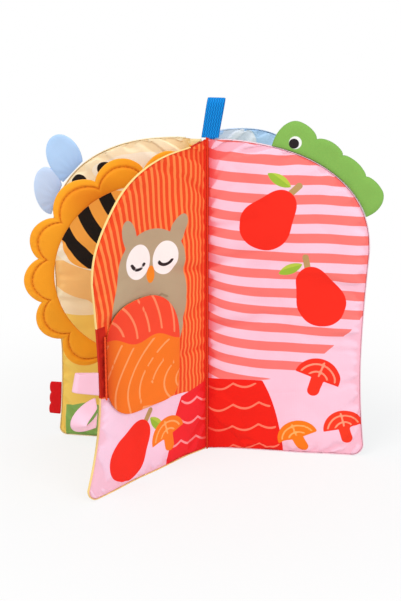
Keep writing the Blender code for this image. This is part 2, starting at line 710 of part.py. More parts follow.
def lower_ribbon(parent, material):
    """The open ribbon loop in the left page's outer edge, turned so that its hole shows."""
    length = LOWER_RIBBON_TOP_Z - LOWER_RIBBON_FOOT_Z
    hinge_u = LEFT_PAGE.edge(LOWER_RIBBON_FOOT_Z) + FOOT_GAP + TAB_AXIS_RISE
    location = LEFT_PAGE.place(hinge_u, LEFT_PAGE.middle(hinge_u), LOWER_RIBBON_FOOT_Z)
    axis = make_axis("lower_ribbon_axis", parent, location, Matrix.Identity(4))
    path = []
    for step in range(LOOP_STEPS + 1):
        angle = math.pi * step / LOOP_STEPS
        out = (LOWER_RIBBON_REACH - RIBBON / 2) * math.sin(angle) - TAB_AXIS_RISE
        up = length / 2 * (1.0 - math.cos(angle)) - LOWER_RIBBON_DROP * math.sin(angle)
        path.append(Vector((out, up)))

    def band(share):
        spread = math.sin(math.pi * share) ** CROWN_POWER_SHARE
        return LOWER_RIBBON_END_BAND + (LOWER_RIBBON_BAND - LOWER_RIBBON_END_BAND) * spread

    def to_space(out, up, across):
        return Vector((out, across - LOWER_RIBBON_SHIFT, up))

    rings = strip_sections(path, RIBBON, band, to_space)
    return link_mesh("lower_ribbon", skin_rings(rings), axis, material)


def hanging_loop(material):
    """The woven tape loop over the middle fold, which leans a little to the right."""
    depth = RIGHT_PAGE.middle(LEAF_START)
    location = Vector((TAPE_CENTRE_X, depth, PAGE_HEIGHT + FOOT_GAP + TAB_AXIS_RISE))
    axis = make_axis("hanging_loop_axis", None, location, Matrix.Identity(4))
    path = hairpin(TAPE_REACH, TAPE_BULGE, TAPE)

    def to_space(up, depth_part, across):
        lean = TAPE_LEAN * max(up, 0.0) / TAPE_REACH
        return Vector((across + lean, depth_part, up))

    rings = strip_sections(path, TAPE, lambda share: TAPE_WIDTH, to_space)
    return link_mesh("hanging_loop", skin_rings(rings), axis, material)


def make_colours():
    """Every cloth, tape and thread of the book."""
    return {
        "right_page_front": make_material("coral_print_cotton", "FF9A92", 0.85),
        "right_page_back": make_material("teal_cotton", "2E7F86", 0.85),
        "right_cover_front": make_material("pale_blue_cotton", "B9D2FA", 0.85),
        "right_cover_back": make_material("teal_cover_cotton", "2E8F9A", 0.85),
        "left_page_front": make_material("red_print_cotton", "F8421A", 0.85),
        "left_page_back": make_material("yellow_cotton", "FFD06A", 0.85),
        "left_cover_front": make_material("cream_print_cotton", "FDDC92", 0.85),
        "left_cover_back": make_material("yellow_cover_cotton", "FFC95C", 0.85),
        "ring": make_material("orange_velour", "F98B0E", 0.9),
        "wadding": make_material("white_wadding", "F4F2EC", 0.95),
        "film": make_material("clear_crinkle_film", "DDE3E8", 0.3),
        "flap": make_material("orange_flap_cotton", "FB7A1E", 0.85),
        "wing": make_material("light_blue_velour", "B9D2FB", 0.9),
        "red": make_material("red_felt", "E8121B", 0.9),
        "green": make_material("green_velour", "86C06A", 0.9),
        "ribbon": make_material("pink_satin_ribbon", "F6C1DE", 0.5),
        "tape": make_material("blue_woven_tape", "0B86DA", 0.7),
        "thread": make_material("orange_thread", "E8501E", 0.7),
    }


def fold_stitching(name, page, parent, material):
    """The stitched fold that a page carries on its back."""
    foot = page.place(FOLD_STEP, page.next_fold_depth(), STRIP_END_INSET)
    length = page.height - STRIP_END_INSET - STITCH_TOP_INSET
    return stitch_line(name, foot, length, parent, material)


def fold_axis(name, page, parent, degrees):
    """The axis of the next page, on the fold that this page carries."""
    location = page.place(FOLD_STEP, page.next_fold_depth(), 0.0)
    return make_axis(name, parent, location, turn_z(degrees))


def build_book():
    """Build the whole book in its standing, open pose."""
    clear_scene()
    colours = make_colours()

    padded_page(RIGHT_PAGE, None, colours)
    stitch_line("middle_fold_stitching", Vector((0.0, 0.0, STITCH_FOOT)),
                LEFT_PAGE_HEIGHT - STITCH_TOP_INSET, None, colours["thread"])
    fold_stitching("right_fold_stitching", RIGHT_PAGE, None, colours["thread"])
    green_tab(None, colours)
    hanging_loop(colours["tape"])

    right_cover_axis = fold_axis("right_cover_axis", RIGHT_PAGE, None, RIGHT_COVER_ANGLE)
    padded_page(RIGHT_COVER, right_cover_axis, colours)

    left_page_axis = make_axis("left_page_axis", None, Vector((0.0, 0.0, 0.0)), turn_z(-SPREAD_ANGLE))
    padded_page(LEFT_PAGE, left_page_axis, colours)
    fold_stitching("left_fold_stitching", LEFT_PAGE, left_page_axis, colours["thread"])
    leaf_flap(left_page_axis, colours)
    upper_ribbon(left_page_axis, colours["ribbon"])
    lower_ribbon(left_page_axis, colours["ribbon"])

    ring_axis = fold_axis("ring_page_axis", LEFT_PAGE, left_page_axis, -RING_ANGLE)
    ring_page(ring_axis, colours)
    fold_stitching("ring_fold_stitching", RING_PAGE, ring_axis, colours["thread"])

    left_cover_axis = fold_axis("left_cover_axis", RING_PAGE, ring_axis, -LEFT_COVER_ANGLE)
    padded_page(LEFT_COVER, left_cover_axis, colours)
    wing_tab("upper_wing", UPPER_WING_FOOT_SHARES, UPPER_WING_AXES, UPPER_WING_RISE, UPPER_WING_SHIFT,
             UPPER_WING_TILT, left_cover_axis, colours["wing"])
    wing_tab("lower_wing", LOWER_WING_FOOT_SHARES, LOWER_WING_AXES, LOWER_WING_RISE, LOWER_WING_SHIFT,
             LOWER_WING_TILT, left_cover_axis, colours["wing"])
    red_tab(left_cover_axis, colours["red"])
    bpy.context.view_layer.update()


if __name__ == "__main__":
    build_book()
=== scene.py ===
"""The look of a crinkle cloth book: padded printed pages, a scalloped ring page, tabs, ribbons and a loop.

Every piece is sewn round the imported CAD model, in its frame, in metres. A page's own space has u out
from its fold, z up, and depth from its reading side to its back.
"""

import json
import logging
import math
from dataclasses import dataclass, field
from enum import Enum
from typing import Any, Callable, Sequence

import bpy
import bmesh
import numpy as np
from bpy.types import Material, Node, NodeSocket, NodeTree, Object
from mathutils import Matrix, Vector

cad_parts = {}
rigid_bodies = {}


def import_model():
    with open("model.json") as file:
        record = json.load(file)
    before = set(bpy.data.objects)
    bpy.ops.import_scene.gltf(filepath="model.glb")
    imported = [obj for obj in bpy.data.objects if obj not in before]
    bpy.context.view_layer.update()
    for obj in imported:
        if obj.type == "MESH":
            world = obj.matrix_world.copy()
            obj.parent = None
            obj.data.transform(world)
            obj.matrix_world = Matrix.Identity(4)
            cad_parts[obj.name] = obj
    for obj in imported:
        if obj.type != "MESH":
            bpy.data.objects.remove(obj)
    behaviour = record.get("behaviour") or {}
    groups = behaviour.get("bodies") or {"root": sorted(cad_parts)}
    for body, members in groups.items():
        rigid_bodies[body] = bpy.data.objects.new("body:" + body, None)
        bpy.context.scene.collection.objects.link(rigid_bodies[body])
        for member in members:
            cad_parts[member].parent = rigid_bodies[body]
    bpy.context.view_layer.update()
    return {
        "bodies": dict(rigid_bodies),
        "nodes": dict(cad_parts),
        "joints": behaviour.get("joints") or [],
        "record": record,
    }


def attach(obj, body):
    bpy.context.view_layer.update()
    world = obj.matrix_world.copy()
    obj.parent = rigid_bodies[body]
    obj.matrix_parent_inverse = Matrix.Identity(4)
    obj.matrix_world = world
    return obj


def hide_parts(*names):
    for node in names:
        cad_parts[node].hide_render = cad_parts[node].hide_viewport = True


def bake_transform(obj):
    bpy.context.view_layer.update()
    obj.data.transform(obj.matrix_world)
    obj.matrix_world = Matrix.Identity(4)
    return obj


Array = np.ndarray
Field = Callable[[Array, Array, Array], Array]

LOG = logging.getLogger("cloth_book")
MM = 0.001
# Metres of cloth to one unit of its UV map.
UV_UNIT = 0.1
# What a wave texture of scale 1 takes to repeat, in UV units.
WAVE_PERIOD = 2 * math.pi / 20
# Half of the gap between the two halves of a pad, in metres.
PARTING = 0.00004
# How far a printed colour fades at its edge, in millimetres.
INK_EDGE = 0.14


class Side(Enum):
    """Which way a page's back faces from its own X axis."""

    RIGHT = 1
    LEFT = -1


def smooth(share: Array) -> Array:
    """Ease from 0 to 1 with level ends."""
    share = np.clip(share, 0.0, 1.0)
    return share * share * (3.0 - 2.0 * share)


def ripple(x: Array, y: Array, length: float, seed: int, waves: int = 7) -> Array:
    """Smooth, seeded undulation from a few crossing waves.

    Args:
        x: First coordinate, in metres.
        y: Second coordinate, in metres.
        length: Typical wavelength, in metres.
        seed: Seed for the waves' directions and phases.
        waves: Number of waves.

    Returns:
        Values of about -1 to 1.
    """
    rng = np.random.default_rng(seed)
    total = np.zeros_like(x)
    for _ in range(waves):
        angle, phase = rng.uniform(0, 2 * math.pi, 2)
        rate = 2 * math.pi / (length * rng.uniform(0.7, 1.5))
        total += np.sin(rate * (x * math.cos(angle) + y * math.sin(angle)) + phase)
    return total / math.sqrt(waves * 1.5)


def outline_distance(x: Array, y: Array, line: Array) -> Array:
    """Least distance from points to an open line of points.

    Args:
        x: First coordinates.
        y: Second coordinates.
        line: The line's points, one per row.

    Returns:
        The distance at each point.
    """
    best = np.full(x.shape, np.inf)
    for start, end in zip(line, line[1:]):
        along = end - start
        reach = float(along @ along)
        if reach == 0.0:
            continue
        share = np.clip(((x - start[0]) * along[0] + (y - start[1]) * along[1]) / reach, 0, 1)
        best = np.minimum(best, np.hypot(x - start[0] - share * along[0], y - start[1] - share * along[1]))
    return best


@dataclass
class PageForm:
    """The flat pattern, place and padding of one page, as in the CAD model."""

    name: str
    side: Side
    width: float
    height: float
    half: float
    azimuth: float
    origin: tuple[float, float, float]
    carrier: "PageForm | None" = None
    waist: float = 0.0
    flare: float = 0.0
    seam_half: float = 0.0007
    start: float = 0.0003
    seam_margin: float = 0.005
    crown_run: float = 0.014
    fold_run: float = 0.022
    fold_step: float = 0.0045
    stitch_room: float = 0.0009
    flap_room: float = 0.0026
    shut_gap: float = 0.0004
    arch_start: float = 0.140
    arch_exponent: float = 2.3
    flare_height: float = 0.072
    corner: float = 0.008
    crown_power: float = 0.65
    bow: float = 0.0013
    top_lift: float = 0.0
    top_decay: float = 0.009
    top_from: float = 0.150
    top_run: float = 0.055
    shoulder: float = 0.0
    shoulder_z: float = 0.181
    shoulder_run: float = 0.022
    full_above: float = 0.0
    full_from: float = 0.060
    full_run: float = 0.035

    def crown(self, inset: Array) -> Array:
        """Half of the thickness at a distance in from a sewn edge."""
        reach = np.clip(inset / self.crown_run, 0.0, 1.0)
        return self.seam_half + (self.half - self.seam_half) * (1.0 - (1.0 - reach) ** 2) ** self.crown_power

    def fold_half(self, u: Array) -> Array:
        """Half of the thickness at u from the fold, away from the other edges."""
        return self.crown(u - self.start - self.seam_margin)

    def middle(self, u: Array) -> Array:
        """Depth of the page's middle surface.

        Args:
            u: Distance out from the fold.

        Returns:
            Depth from the page's own plane.
        """
        u = np.asarray(u, float)
        half = self.fold_half(u)
        bend = smooth(u / self.fold_run)
        if self.carrier is None:
            return half + self.stitch_room + (self.flap_room / 2 - self.stitch_room) * bend
        beyond = u + self.fold_step
        face = self.carrier.middle(beyond) + self.carrier.fold_half(beyond)
        room = self.shut_gap + (2 * self.stitch_room - self.shut_gap) * (1.0 - bend)
        return face + room + half - self.carrier.next_fold_depth()

    def next_fold_depth(self) -> float:
        """Depth of the fold that this page carries on its back."""
        step = np.asarray(self.fold_step)
        return float(self.middle(step) + self.fold_half(step) + self.stitch_room)

    def edge(self, z: Array) -> Array:
        """How far out the outer edge lies below the arch.

        Args:
            z: Height.

        Returns:
            Distance out from the fold.
        """
        drawn_in = self.waist * np.sin(math.pi * np.clip(z / self.arch_start, 0, 1))
        drawn_in = drawn_in * (1.0 - self.full_above * smooth((z - self.full_from) / self.full_run))
        return self.width - drawn_in + self.flare * np.clip(1.0 - z / self.flare_height, 0, 1) ** 2

    def arch_u(self, z: float) -> float:
        """How far out the arch lies at a height above its start."""
        share = min((z - self.arch_start) / (self.height - self.arch_start), 1.0)
        return self.width * (1.0 - share ** self.arch_exponent) ** (1.0 / self.arch_exponent)

    def arch_point(self, share: float, first: float, last: float, out: float) -> tuple[float, float]:
        """A point off the arch, at a share of the way between two heights.

        Args:
            share: Share of the way from first to last.
            first: Height at which the way starts.
            last: Height at which it ends.
            out: Distance outwards from the arch.

        Returns:
            The point's u and z.
        """
        rise, power = self.height - self.arch_start, self.arch_exponent
        angles = [math.atan2(z - self.arch_start, self.arch_u(z)) for z in (first, last)]
        angle = angles[0] + (angles[1] - angles[0]) * share
        unit = (abs(math.cos(angle)) / self.width) ** power + (abs(math.sin(angle)) / rise) ** power
        radius = unit ** (-1.0 / power)
        u, z = radius * math.cos(angle), radius * math.sin(angle)
        slope = Vector((u ** (power - 1) / self.width ** power, z ** (power - 1) / rise ** power))
        slope.normalize()
        return u + slope.x * out, self.arch_start + z + slope.y * out

    def rim(self, inset: float, corner_rows: int, edge_rows: int, arch_rows: int) -> Array:
        """The outer edge from the foot to the top, drawn in by inset.

        Args:
            inset: Distance in from the sewn edge.
            corner_rows: Steps round the bottom corner.
            edge_rows: Steps up the edge.
            arch_rows: Steps over the arch.

        Returns:
            Points (u, z), one per row.
        """
        radius = max(self.corner - inset, 0.001)
        corner_z = inset + radius
        corner_u = float(self.edge(np.asarray(corner_z))) - inset - radius
        turn = np.linspace(0, math.pi / 2, corner_rows)
        corner = np.stack([corner_u + radius * np.sin(turn), corner_z - radius * np.cos(turn)], 1)
        z = np.linspace(corner_z, self.arch_start, edge_rows + 1)[1:]
        edge = np.stack([self.edge(z) - inset, z], 1)
        turn = np.linspace(0, math.pi / 2 * 0.985, arch_rows + 1)[1:]
        power = 2.0 / self.arch_exponent
        rise = self.height - self.arch_start - inset
        arch = np.stack([(self.width - inset) * np.cos(turn) ** power,
                         self.arch_start + rise * np.sin(turn) ** power], 1)
        lowered = np.exp(-((arch[:, 1] - self.shoulder_z) / self.shoulder_run) ** 2)
        arch[:, 0] -= self.shoulder * lowered * smooth(arch[:, 0] / 0.05)
        return np.concatenate([corner, edge, arch])

    def grid(self, inset: float, columns: int, rows: int) -> tuple[Array, Array]:
        """A grid of places over the page.

        Args:
            inset: Distance in from the sewn edge.
            columns: Places from the fold to the outer edge.
            rows: Places up the edge, of which a third go over the arch.

        Returns:
            u and z, each of shape (rows, columns).
        """
        corner_rows, arch_rows = 10, int(rows * 0.42)
        rim = self.rim(inset, corner_rows, rows - corner_rows - arch_rows, arch_rows)
        u = self.start + self.shares(columns)[None, :] * (rim[:, :1] - self.start)
        return u, np.repeat(rim[:, 1:], columns, 1)

    def shares(self, columns: int) -> Array:
        """Shares of the way from the fold to the edge, closer together at both."""
        even = np.linspace(0, 1, columns)
        return 0.55 * even + 0.45 * 0.5 * (1 - np.cos(math.pi * even))

    def billow(self, u: Array, z: Array) -> Array:
        """Slow bow, alike for all pages so that they shut, and none at the tabs' hinges.

        Args:
            u: Distance out from the fold.
            z: Height.

        Returns:
            Depth to add.
        """
        wave = np.sin(2 * math.pi * z / 0.150 + 0.7)
        wave = wave + 0.6 * np.sin(2 * math.pi * (u / 0.085 + z / 0.33) + 1.9)
        reach = smooth((u - 0.008) / 0.03) * (1.0 - smooth((u - 0.052) / 0.032))
        return -self.side.value * self.bow * reach * wave

    def place(self, u: Array, depth: Array, z: Array) -> Array:
        """Points of the page in the row frame, with the page's bow.

        Args:
            u: Distance out from the fold.
            depth: Depth from the page's own plane towards its back.
            z: Height.

        Returns:
            The points, with the three coordinates last.
        """
        u, depth, z = np.broadcast_arrays(np.asarray(u, float), depth, z)
        turn = math.radians(self.azimuth)
        out = np.array([math.cos(turn), math.sin(turn)])
        back = np.array([-math.sin(turn), math.cos(turn)]) * self.side.value
        depth = depth + self.billow(u, z)
        plan = u[..., None] * out + depth[..., None] * back + np.array(self.origin[:2])
        lift = self.top_lift * np.exp(-(u / self.top_decay) ** 2) * smooth((z - self.top_from) / self.top_run)
        return np.concatenate([plan, (z + lift + self.origin[2])[..., None]], -1)


def put(name: str, data: Any) -> Object:
    """Link a new object to the scene.

    Args:
        name: Its name.
        data: Its mesh, lamp or camera.

    Returns:
        The object.
    """
    item = bpy.data.objects.new(name, data)
    bpy.context.scene.collection.objects.link(item)
    return item


def patch_quads(number: Array) -> Array:
    """Faces of a grid of vertex numbers."""
    return np.stack([number[:-1, :-1], number[:-1, 1:], number[1:, 1:], number[1:, :-1]], -1).reshape(-1, 4)


def ring_quads(number: Array) -> Array:
    """Faces between closed rings of vertex numbers."""
    following = np.roll(number, -1, 1)
    return np.stack([number[:-1], following[:-1], following[1:], number[1:]], -1).reshape(-1, 4)


def run_length(points: Array) -> Array:
    """How far along a line of points each point lies."""
    return np.concatenate([[0], np.cumsum(np.linalg.norm(np.diff(points, axis=0), axis=1))])


def link_mesh(name: str, points: Array, faces: Sequence[Sequence[int]],
              uv: Array | None = None, values: dict[str, Array] | None = None) -> Object:
    """Make a smooth-shaded mesh object with outward faces.

    Args:
        name: The piece's name.
        points: Vertices, one per row.
        faces: Vertex numbers of each face.
        uv: Flat cloth coordinates of each vertex, in metres.
        values: Named numbers on each vertex.

    Returns:
        The linked object.
    """
    mesh = bpy.data.meshes.new(name)
    mesh.from_pydata(points.reshape(-1, 3).tolist(), [], faces)
    edit = bmesh.new()
    edit.from_mesh(mesh)
    bmesh.ops.recalc_face_normals(edit, faces=edit.faces)
    if edit.calc_volume(signed=True) < 0:
        bmesh.ops.reverse_faces(edit, faces=edit.faces)
    edit.to_mesh(mesh)
    edit.free()
    if uv is not None:
        corners = np.zeros(len(mesh.loops), np.int32)
        mesh.loops.foreach_get("vertex_index", corners)
        layer = mesh.uv_layers.new(name="cloth")
        layer.data.foreach_set("uv", (uv.reshape(-1, 2)[corners] / UV_UNIT).astype(np.float32).ravel())
    for key, value in (values or {}).items():
        attribute = mesh.attributes.new(key, "FLOAT", "POINT")
        attribute.data.foreach_set("value", value.astype(np.float32).ravel())
    mesh.shade_smooth()
    return put(name, mesh)


def grid_solid(name: str, outer: Array, inner: Array, uv: Array,
               values: dict[str, Array] | None = None) -> Object:
    """Close two matching grids of points into one solid.

    Args:
        name: The piece's name.
        outer: Points of one side, of shape (rows, columns, 3).
        inner: Points of the other side.
        uv: Flat cloth coordinates of shape (rows, columns, 2), in metres.
        values: Named numbers on the outer grid, which the inner side repeats.

    Returns:
        The linked object.
    """
    rows, columns = outer.shape[:2]
    number = np.arange(rows * columns).reshape(rows, columns)
    far = number + rows * columns
    quads = patch_quads(number)
    faces = quads.tolist() + (quads[:, ::-1] + rows * columns).tolist()
    loop = np.concatenate([number[0, :-1], number[:-1, -1], number[-1, :0:-1], number[:0:-1, 0]])
    other = np.concatenate([far[0, :-1], far[:-1, -1], far[-1, :0:-1], far[:0:-1, 0]])
    faces += np.stack([loop, other, np.roll(other, -1), np.roll(loop, -1)], -1).tolist()
    points = np.concatenate([outer.reshape(-1, 3), inner.reshape(-1, 3)])
    both = {key: np.concatenate([v.ravel(), v.ravel()]) for key, v in (values or {}).items()}
    return link_mesh(name, points, faces, np.concatenate([uv.reshape(-1, 2)] * 2), both)


def tube(name: str, rings: Array, uv_width: float,
         values: dict[str, Array] | None = None) -> Object:
    """Skin closed rings of points along a path and cap both ends.

    Args:
        name: The piece's name.
        rings: Points of shape (rings, sides, 3).
        uv_width: Cloth width that goes once round, in metres.
        values: Named numbers on each point.

    Returns:
        The linked object.
    """
    count, sides = rings.shape[:2]
    number = np.arange(count * sides).reshape(count, sides)
    faces = ring_quads(number).tolist() + [number[0, ::-1].tolist(), number[-1].tolist()]
    run = run_length(rings.mean(1))
    uv = np.stack(np.broadcast_arrays(np.linspace(0, uv_width, sides)[None, :], run[:, None]), -1)
    return link_mesh(name, rings, faces, uv, values)


def star_solid(name: str, outline: Array, place: Field, half: Field, levels: int,
               values: Callable[[Array, Array], dict[str, Array]],
               flat_side: float | None = None) -> Object:
    """A padded piece inside an outline that is seen whole from its centre.

    Args:
        name: The piece's name.
        outline: Closed outline of points (x, z), in metres.
        place: Turns x, depth and z into points in the row frame.
        half: Half thickness from x, z and the distance to the outline.
        levels: Rings from the outline to the centre.
        values: Named numbers from x and z.
        flat_side: Depth of a flat inner side, where the piece is only the front or the back of a pad.

    Returns:
        The linked object.
    """
    centre = outline.mean(0)
    closed = np.concatenate([outline, outline[:1]])
    shares = 1.0 - np.linspace(0, 0.97, levels) ** 1.35
    x = centre[0] + (outline[None, :, 0] - centre[0]) * shares[:, None]
    z = centre[1] + (outline[None, :, 1] - centre[1]) * shares[:, None]
    x = np.concatenate([x.ravel(), centre[:1]])
    z = np.concatenate([z.ravel(), centre[1:]])
    thick = half(x, z, outline_distance(x, z, closed))
    inner = thick if flat_side is None else np.full_like(thick, flat_side)
    sides = outline.shape[0]
    number = np.arange(levels * sides).reshape(levels, sides)
    following = np.roll(number, -1, 1)
    quads = ring_quads(number)
    fan = np.stack([number[-1], following[-1], np.full(sides, levels * sides)], -1)
    total = levels * sides + 1
    wall = np.stack([number[0], following[0], following[0] + total, number[0] + total], -1)
    faces = quads.tolist() + fan.tolist() + (quads[:, ::-1] + total).tolist()
    faces += (fan[:, ::-1] + total).tolist() + wall[:, ::-1].tolist()
    points = np.concatenate([place(x, -thick, z), place(x, inner, z)])
    uv = np.concatenate([np.stack([x, z], -1)] * 2)
    named = {key: np.concatenate([v, v]) for key, v in values(x, z).items()}
    return link_mesh(name, points, faces, uv, named)


# Inks are painted from signed distances in millimetres, negative inside a shape.


def turned(x: Array, z: Array, at: tuple[float, float],
           degrees: float) -> tuple[Array, Array]:
    """Coordinates about a motif's own centre and tilt.

    Args:
        x: Distance out from the fold, in millimetres.
        z: Height, in millimetres.
        at: The motif's centre.
        degrees: Its tilt.

    Returns:
        The place across and along the motif.
    """
    turn = math.radians(degrees)
    dx, dz = x - at[0], z - at[1]
    return dx * math.cos(turn) + dz * math.sin(turn), dz * math.cos(turn) - dx * math.sin(turn)


def disc(x: Array, z: Array, at: tuple[float, float], radius: float) -> Array:
    """Distance to a disc."""
    return np.hypot(x - at[0], z - at[1]) - radius


def oval(x: Array, z: Array, at: tuple[float, float], axes: tuple[float, float],
         degrees: float = 0.0) -> Array:
    """Distance to an oval, near enough at its edge.

    Args:
        x: Distance out from the fold, in millimetres.
        z: Height, in millimetres.
        at: Centre.
        axes: Half of its width and height.
        degrees: Its tilt.

    Returns:
        Signed distance, negative inside.
    """
    dx, dz = turned(x, z, at, degrees)
    reach = np.hypot(dx / axes[0], dz / axes[1])
    slope = np.hypot(dx / axes[0] ** 2, dz / axes[1] ** 2) + 1e-6
    return (reach - 1.0) * np.maximum(reach, 0.3) / slope


def stroke(x: Array, z: Array, points: Sequence[tuple[float, float]], width: float) -> Array:
    """Distance to a drawn line with round ends."""
    return outline_distance(x, z, np.array(points, float)) - width / 2


def bands(across: Array, pitch: float, width: float) -> Array:
    """Distance to straight, evenly spaced stripes."""
    return np.abs((across / pitch + 0.5) % 1.0 - 0.5) * pitch - width / 2


def both(*shapes: Array) -> Array:
    """Where all of the shapes overlap."""
    return np.maximum.reduce(shapes)


def either(*shapes: Array) -> Array:
    """Where any of the shapes is."""
    return np.minimum.reduce(shapes)


def blended(one: Array, other: Array, reach: float) -> Array:
    """Two shapes run together with a soft waist."""
    share = np.clip(0.5 + 0.5 * (other - one) / reach, 0, 1)
    return other * (1 - share) + one * share - reach * share * (1 - share)


@dataclass(frozen=True)
class Ink:
    """One printed colour and where it goes."""

    colour: str
    shape: Array


PrintRule = Callable[[Array, Array], list[Ink]]


def pear(x: Array, z: Array, at: tuple[float, float], size: float, degrees: float) -> list[Ink]:
    """A red pear with a tan stalk and a two-tone lime leaf.

    Args:
        x: Distance out from the fold, in millimetres.
        z: Height, in millimetres.
        at: Its centre.
        size: Its size, 1 for 27 mm of fruit.
        degrees: Its tilt.

    Returns:
        The inks, each over the ones before it.
    """
    px, pz = turned(x, z, at, degrees)
    px, pz = px / size, pz / size
    body = blended(disc(px, pz, (0, -4), 14.5), disc(px, pz, (1.5, 11.5), 8.2), 9)
    stalk = stroke(px, pz, [(2, 17), (4.5, 25.5)], 3.6)
    leaf = both(disc(px, pz, (-6.5, 14.5), 11), disc(px, pz, (-6.5, 30.5), 11))
    dark = both(leaf, (pz - 22.5) + 0.12 * px)
    return [Ink("BE9A62", stalk * size), Ink("B9CF45", leaf * size), Ink("9CBF3A", dark * size),
            Ink("F92A18", body * size)]


def toadstool(x: Array, z: Array, at: tuple[float, float], size: float, degrees: float,
              cap: str, line: str) -> list[Ink]:
    """A little toadstool: a domed cap with two drawn bands over a stubby stem.

    Args:
        x: Distance out from the fold, in millimetres.
        z: Height, in millimetres.
        at: Its centre.
        size: Its size, 1 for a cap of 27 mm.
        degrees: Its tilt.
        cap: Colour of its cap and stem.
        line: Colour of its drawn lines.

    Returns:
        The inks, each over the ones before it.
    """
    px, pz = turned(x, z, at, degrees)
    px, pz = px / size, pz / size
    dome = both(oval(px, pz, (0, -2), (13.5, 12.5)), -(pz + 2.0))
    stem = stroke(px, pz, [(0, -2), (0.6, -9)], 7.5)
    arcs = either(np.abs(disc(px, pz, (0, -4), 6.5)), np.abs(disc(px, pz, (0, -4), 11.0))) - 0.55
    marks = either(both(arcs, dome + 1.3), stroke(px, pz, [(0, 0), (0, 8.5)], 1.1))
    return [Ink(cap, (either(dome, stem)) * size), Ink(line, marks * size)]


def hill_lines(x: Array, z: Array, pitch: float, swing: float, length: float,
               width: float) -> Array:
    """Scalloped lines, one above the other."""
    wave = swing * np.abs(np.sin(math.pi * x / length)) - 0.16 * x
    return bands(z + wave, pitch, width)


def right_page_print(x: Array, z: Array) -> list[Ink]:
    """Coral stripes on pink, pears, a red hill and toadstools.

    Args:
        x: Distance out from the fold, in millimetres.
        z: Height, in millimetres.

    Returns:
        The inks, each over the ones before it.
    """
    field_edge = 50.8 + 0.010 * np.clip(x - 30, 0, None) ** 2 - z
    hill = both(oval(x, z, (7, -14), (44, 86)), z - 50.8)
    drawn_up = (4.0 + 5.0 * smooth((150 - z) / 60)) * np.exp(-np.clip(x, 0, None) / 14)
    sway = 0.4 * np.sin(x / 19.0 + 1.0) + 0.15 * np.sin(x / 6.0 + z / 30.0)
    inks = [Ink("FA7C76", both(bands(z + 0.15 - drawn_up + sway, 12.37, 6.1), field_edge)),
            Ink("F21E0E", hill),
            Ink("FF8468", both(hill_lines(x, z, 15, 3.4, 17, 1.5), hill + 2.0))]
    inks += pear(x, z, (38, 160), 1.12, -30)
    inks += pear(x, z, (70, 110), 1.08, 28)
    inks += toadstool(x, z, (72, 56), 1.12, -20, "F8321C", "FF9A7C")
    inks += toadstool(x, z, (89, 22), 1.0, 12, "FA3A1E", "FFA27E")
    inks += toadstool(x, z, (59, 14), 1.0, 24, "FB7F14", "FFB968")
    return inks


def left_page_print(x: Array, z: Array) -> list[Ink]:
    """Orange and red upright stripes, a sleepy owl, a pink meadow with a pear, a red hill, and a painted
    shadow beside the leaf flap's hinge.

    Args:
        x: Distance out from the fold, in millimetres.
        z: Height, in millimetres.

    Returns:
        The inks, each over the ones before it.
    """
    meadow = z - 39.6 - 0.30 * x - 2.0 * np.sin(x / 9)
    hill = both(oval(x, z, (-6, -24), (44, 94)), z - 49.5 + 0.17 * x)
    sway = 0.35 * np.sin(z / 17.0) + 0.12 * np.sin(z / 7.3 + 1.0)
    leaning = x * (1.0 - 0.0022 * np.clip(z - 120, 0, None))
    leaning += 10.0 * (1.0 - np.exp(-np.clip(x, 0, None) / 16))
    px, pz = turned(x, z, (50, 121), 7)
    px, pz = px / 1.18, pz / 1.18
    body = blended(oval(px, pz, (0, -8), (27, 38)), oval(px, pz, (0, 17), (24, 18)), 6)
    tufts = either(oval(px, pz, (-18, 33), (5, 9), 24), oval(px, pz, (18, 33), (5, 9), -24))
    rounds = either(disc(px, pz, (-10, 19), 9.0), disc(px, pz, (10, 19), 9.0))
    lids = either(np.abs(disc(px, pz, (-10, 21), 5.6)), np.abs(disc(px, pz, (10, 21), 5.6))) - 1.0
    lids = both(lids, pz - 18.5)
    beak = oval(px, pz, (0, 11.5), (3.0, 4.8))
    feathers = bands(pz + 1.6 * np.abs(np.sin(px * math.pi / 8.0)), 9, 1.3)
    chest = both(feathers, oval(px, pz, (0, -22), (20, 26)))
    inks = [Ink("FF8A48", bands(leaning + sway, 4.35, 1.9)),
            # Painted shadow: a dark red strip beside the leaf flap's hinge, where the flap shades the page.
            Ink("C4200C", both(88.0 - x, np.abs(z - 89) - 22.5)),
            Ink("B9A283", either(body, tufts)), Ink("A08A6C", chest),
            Ink("FFF6F2", rounds), Ink("2B1B1E", lids), Ink("F58A1F", beak),
            Ink("FBD3E8", meadow), Ink("F4262E", hill),
            Ink("FFA0A4", both(hill_lines(x + 6, z + 4, 14, 3.2, 15, 1.6), hill + 1.6))]
    inks += pear(x, z, (68, 22), 1.1, 48)
    inks += toadstool(x, z, (36, 24), 1.05, -14, "FB7F1F", "FFB36A")
    return inks


def left_edge_print(x: Array, z: Array) -> list[Ink]:
    """Red, where the leaf flap is sewn in and where the arch meets the fold."""
    return [Ink("D42C12", either(np.abs(z - 89) - 22.5, both(x - 13, 195 - z)))]


def no_print(x: Array, z: Array) -> list[Ink]:
    """Plain cloth."""
    return []


def flap_print(x: Array, z: Array) -> list[Ink]:
    """Two rolling hills with curved furrow lines.

    Args:
        x: Distance out from the fold, in millimetres.
        z: Height, in millimetres.

    Returns:
        The inks, each over the ones before it.
    """
    lower = z - 96 - 0.16 * (x - 59) - 2.4 * np.sin(x / 6.0)
    furrows = both(bands(np.hypot(x - 20, (z - 60) * 1.25) + 0.8 * np.sin(z / 6.0), 10.5, 1.5), lower + 2.2)
    rays = both(bands(np.hypot(x - 96, z - 96), 10.5, 1.6), 3.2 - lower)
    return [Ink("F97A1C", lower), Ink("FFA463", furrows), Ink("FF8A60", rays)]


